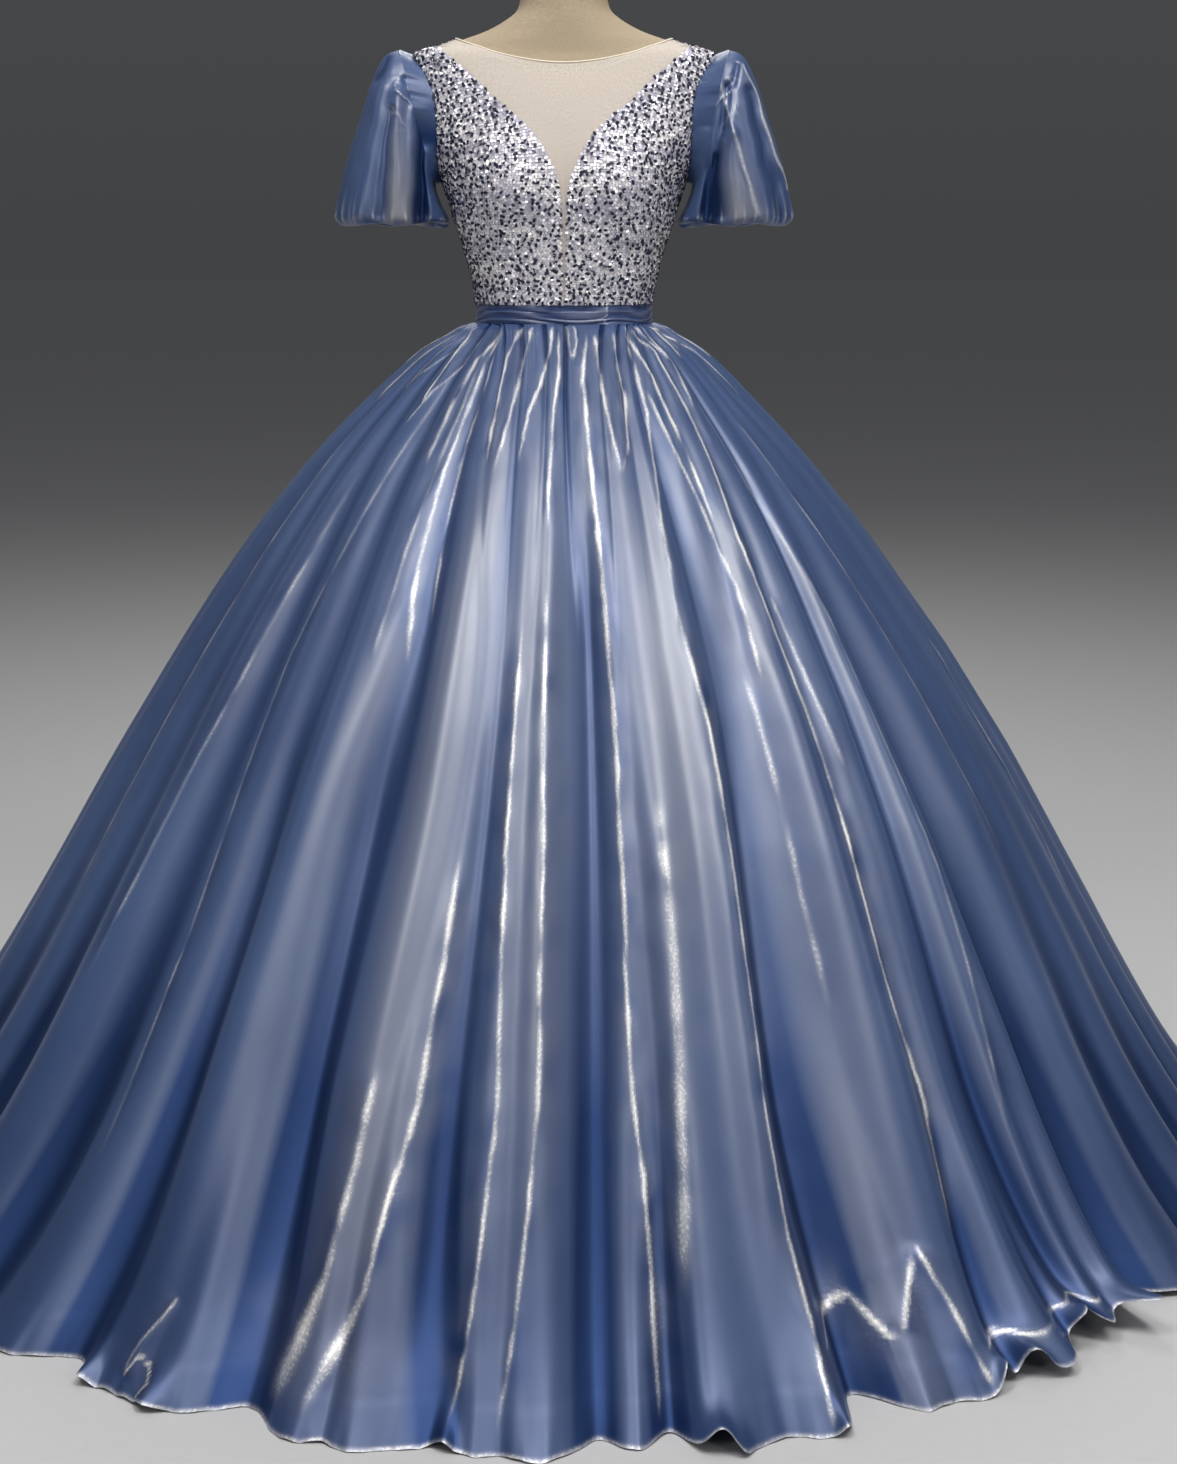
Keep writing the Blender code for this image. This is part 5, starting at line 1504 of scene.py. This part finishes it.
def sleeve_gathers(turn, down):
    """Fine gathers that run down from the armhole and up from the hem, and a painted glint along
    each.
    """
    random = np.random.default_rng(77)
    height, gleam = (np.zeros((SLEEVE_ROWS, SLEEVE_COLUMNS)) for _ in range(2))
    count = SLEEVE_GATHERS
    for start, rises, widths in ((0.0, (0.6, 1.8), (2.0, 4.0)), (0.66, (0.8, 2.8), (1.6, 4.0))):
        for centre in (np.arange(count) + random.uniform(-0.4, 0.4, count)) * 2 * math.pi / count:
            drift = random.uniform(-0.12, 0.12)
            width = math.radians(random.uniform(*widths))
            length, rise = random.uniform(0.04, 0.12), random.uniform(*rises)
            if start == 0:
                rise = rise * math.exp(-((math.remainder(centre, 2 * math.pi) / HEAD_ANGLE) ** 2))
            off = np.mod(turn - centre - drift * (down - start) + math.pi, 2 * math.pi) - math.pi
            fade = bell((down - start) / length)
            height += rise * fade * bell(off / width)
            glint = 0.28 * rise / 2.2 * fade * bell(off / (0.5 * width))
            gleam = np.maximum(gleam, glint)
    return height, gleam


def add_sleeves(material):
    for side in ("left", "right"):
        points, layers = sleeve_points(side)
        if side == "right":
            points = mirrored(points)
            layers = {layer: values[:, ::-1] for layer, values in layers.items()}
        piece = grid_piece(
            f"sleeve_{side}_organza",
            points,
            material,
            wrap_columns=True,
            normals=grid_normals(points, wrap_columns=True),
            layers=layers,
            cloth_uv=cloth_lengths(points),
        )
        wear(piece, "organza", f"sleeve_{side}")


def add_belt(material):
    """A satin band in soft level pleats, thicker where its outer end is lapped over."""
    last = len(BELT["share"]) - 1
    fine = spread(0, last, BELT_ROWS)
    angle = all_round(BELT_COLUMNS)
    share = np.concatenate([between_rows(BELT["share"], fine), [1.0, 0.0]])
    shift = PLEAT_WANDER * Waves(61, 0.9).at(xyz(np.sin(angle), np.cos(angle), 0.0))[None]
    pleats = between_rows(BELT["thickness"], np.clip(fine[:, None] + shift, 0, last))
    edges = np.minimum(fine, last - fine)[:, None].clip(0, 1)
    plain = between_rows(BELT["thickness"], fine)[:, None]
    thick = pleats * edges + plain * (1 - edges)
    zigzag = np.interp(share, LAP_ZIGZAG["share"], np.radians(LAP_ZIGZAG["angle"]))
    behind_lap = np.mod((LAP_ANGLE + zigzag)[:, None] - angle, 2 * math.pi) / LAP_LENGTH
    lap = LAP_THICKNESS * np.clip(1 - behind_lap, 0, 1) * (behind_lap < 1)
    thick = np.concatenate([thick, np.zeros((2, BELT_COLUMNS))])
    thick[:-2] += lap[:-2]
    height = BELT_BOTTOM + (BELT_TOP - BELT_BOTTOM) * share
    points = over_torso(angle[None, :], torso_row(height)[:, None], BELT_EASE + thick)
    points[..., 2] = height[:, None]
    # Painted highlight on the pleats' crests and along the lap's edge.
    crest_highlight = np.clip((thick - CREST_FROM) / CREST_RANGE, 0, 1) * 0.2
    lap_highlight = bell(behind_lap * LAP_LENGTH / 0.020)
    gleam = np.clip(np.maximum(crest_highlight, lap_highlight), 0, 1)
    piece = grid_piece(
        "waist_belt_satin",
        points,
        material,
        wrap_columns=True,
        wrap_rows=True,
        layers={"gleam": gleam},
        cloth_uv=cloth_lengths(points),
    )
    wear(piece, "satin", "waist_belt")


FORM_COLUMNS, FORM_ROWS = 128, 131


def add_form(material):
    """The form's body as one skin with a flat face at each end, and the cap on its neck."""
    angle = all_round(FORM_COLUMNS)
    last = len(TORSO["height"]) - 1
    body = torso_point(angle[None], spread(0, last, FORM_ROWS)[:, None])
    capped_rings("dress_form_linen", body, material, "dress_form_torso")
    ring = torso_point(angle, np.full(angle.shape, float(last)))
    ring[:, 2] += SEAM
    turn = spread(0, math.pi / 2, 8)[:, None, None]
    upper = ring[None] * (0.955, 0.955, 1) + ring[None] * (0.03, 0.03, 0) * np.cos(turn)
    upper[..., 2] += NECK_CAP_THICKNESS * (0.7 + 0.3 * np.sin(turn[..., 0]))  # a rounded rim
    rings = np.concatenate([ring[None] * (0.985, 0.985, 1), upper])
    capped_rings("dress_form_neck_cap_linen", rings, material, "dress_form_neck_cap")


def capped_rings(name, rings, material, node):
    """A closed solid from level rings, with a flat face at each end."""
    rows, columns = rings.shape[:2]
    faces = grid_quads(rows, columns, wrap_columns=True).tolist()
    faces += [list(range(columns))[::-1], list(range((rows - 1) * columns, rows * columns))]
    piece = new_mesh(name, rings, faces, material)
    return wear(piece, "linen", node)


# Floor, light and camera

FLOOR_REACH = 60.0
SKY_COLOUR = (0.88, 0.90, 0.94, 1.0)
SKY_LOW, SKY_HIGH = 0.062, 0.150  # strengths at the horizon and overhead
LAMP_COLOUR = (1.0, 0.985, 0.965)
LIGHT_TARGET = 0.7  # the height that the lamps face
SOFTBOXES = table(
    "azimuth elevation distance width length power",
    (-28, 57, 4.4, 0.6, 2.2, 70),
    (31, 57, 4.4, 0.9, 2.2, 98),
    (-5, 60, 4.4, 0.5, 2.0, 14),
    (-26, 15, 3.8, 0.45, 1.0, 9),
    (27, 15, 3.8, 0.45, 1.0, 10),
    (30, 80, 3.6, 1.2, 1.2, 7),
    (80, 35, 4.2, 0.8, 2.2, 13),
    (-100, 40, 4.4, 0.8, 2.2, 6),
    (180, 50, 4.6, 1.4, 2.4, 60),
)


def add_floor():
    square = np.array([(-1.0, -1.0, 0.0), (1.0, -1.0, 0.0), (1.0, 1.0, 0.0), (-1.0, 1.0, 0.0)])
    new_mesh("floor", square * FLOOR_REACH, [(0, 1, 2, 3)], floor_material())


def add_sky():
    """A studio's soft light from all round, stronger from overhead."""
    world = bpy.data.worlds.new("studio")
    world.use_nodes = True
    nodes, links = world.node_tree.nodes, world.node_tree.links
    sky = nodes["Background"]
    sky.inputs["Color"].default_value = SKY_COLOUR
    direction = nodes.new("ShaderNodeTexCoord")
    upward = nodes.new("ShaderNodeSeparateXYZ")
    strength = nodes.new("ShaderNodeMapRange")
    strength.inputs["To Min"].default_value = SKY_LOW
    strength.inputs["To Max"].default_value = SKY_HIGH
    links.new(direction.outputs["Generated"], upward.inputs["Vector"])
    links.new(upward.outputs["Z"], strength.inputs["Value"])
    links.new(strength.outputs["Result"], sky.inputs["Strength"])
    bpy.context.scene.world = world


def add_softbox(name, azimuth, elevation, distance, width, length, power):
    """A soft strip light that faces the gown's middle, its long side up and down."""
    lamp = bpy.data.lights.new(name, "AREA")
    lamp.shape = "RECTANGLE"
    lamp.size, lamp.size_y, lamp.energy = width, length, power
    lamp.color = LAMP_COLOUR
    item = bpy.data.objects.new(name, lamp)
    az, el = math.radians(azimuth), math.radians(elevation)
    level = distance * math.cos(el)
    height = LIGHT_TARGET + distance * math.sin(el)
    item.location = (level * math.sin(az), -level * math.cos(az), height)
    item.rotation_euler = (math.pi / 2 - el, 0, az)
    bpy.context.scene.collection.objects.link(item)


def add_camera():
    camera = bpy.data.cameras.new("camera")
    camera.lens, camera.sensor_width = 57.84, 36.0
    camera.shift_x = 24.5 / 1464
    item = bpy.data.objects.new("camera", camera)
    item.location = (0.0, -3.25, 1.233)
    item.rotation_euler = (math.radians(78), 0.0, 0.0)
    bpy.context.scene.collection.objects.link(item)
    bpy.context.scene.camera = item


def main():
    clear_startup()
    bpy.context.scene.view_settings.view_transform = "Standard"
    add_floor()
    add_sky()
    for number, box in enumerate(zip(*SOFTBOXES.values())):
        add_softbox(f"softbox_{number}", *box)
    add_camera()
    organza = organza_material()
    add_form(linen_material())
    add_belt(satin_material())
    add_bodice(ground_material(), sequin_material(), net_material(), edging_material())
    add_sleeves(organza)
    add_skirt(organza)
    steel = steel_material()
    for node in ("stand_pole", "stand_base"):
        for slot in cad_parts[node].material_slots:
            slot.material = steel


main()
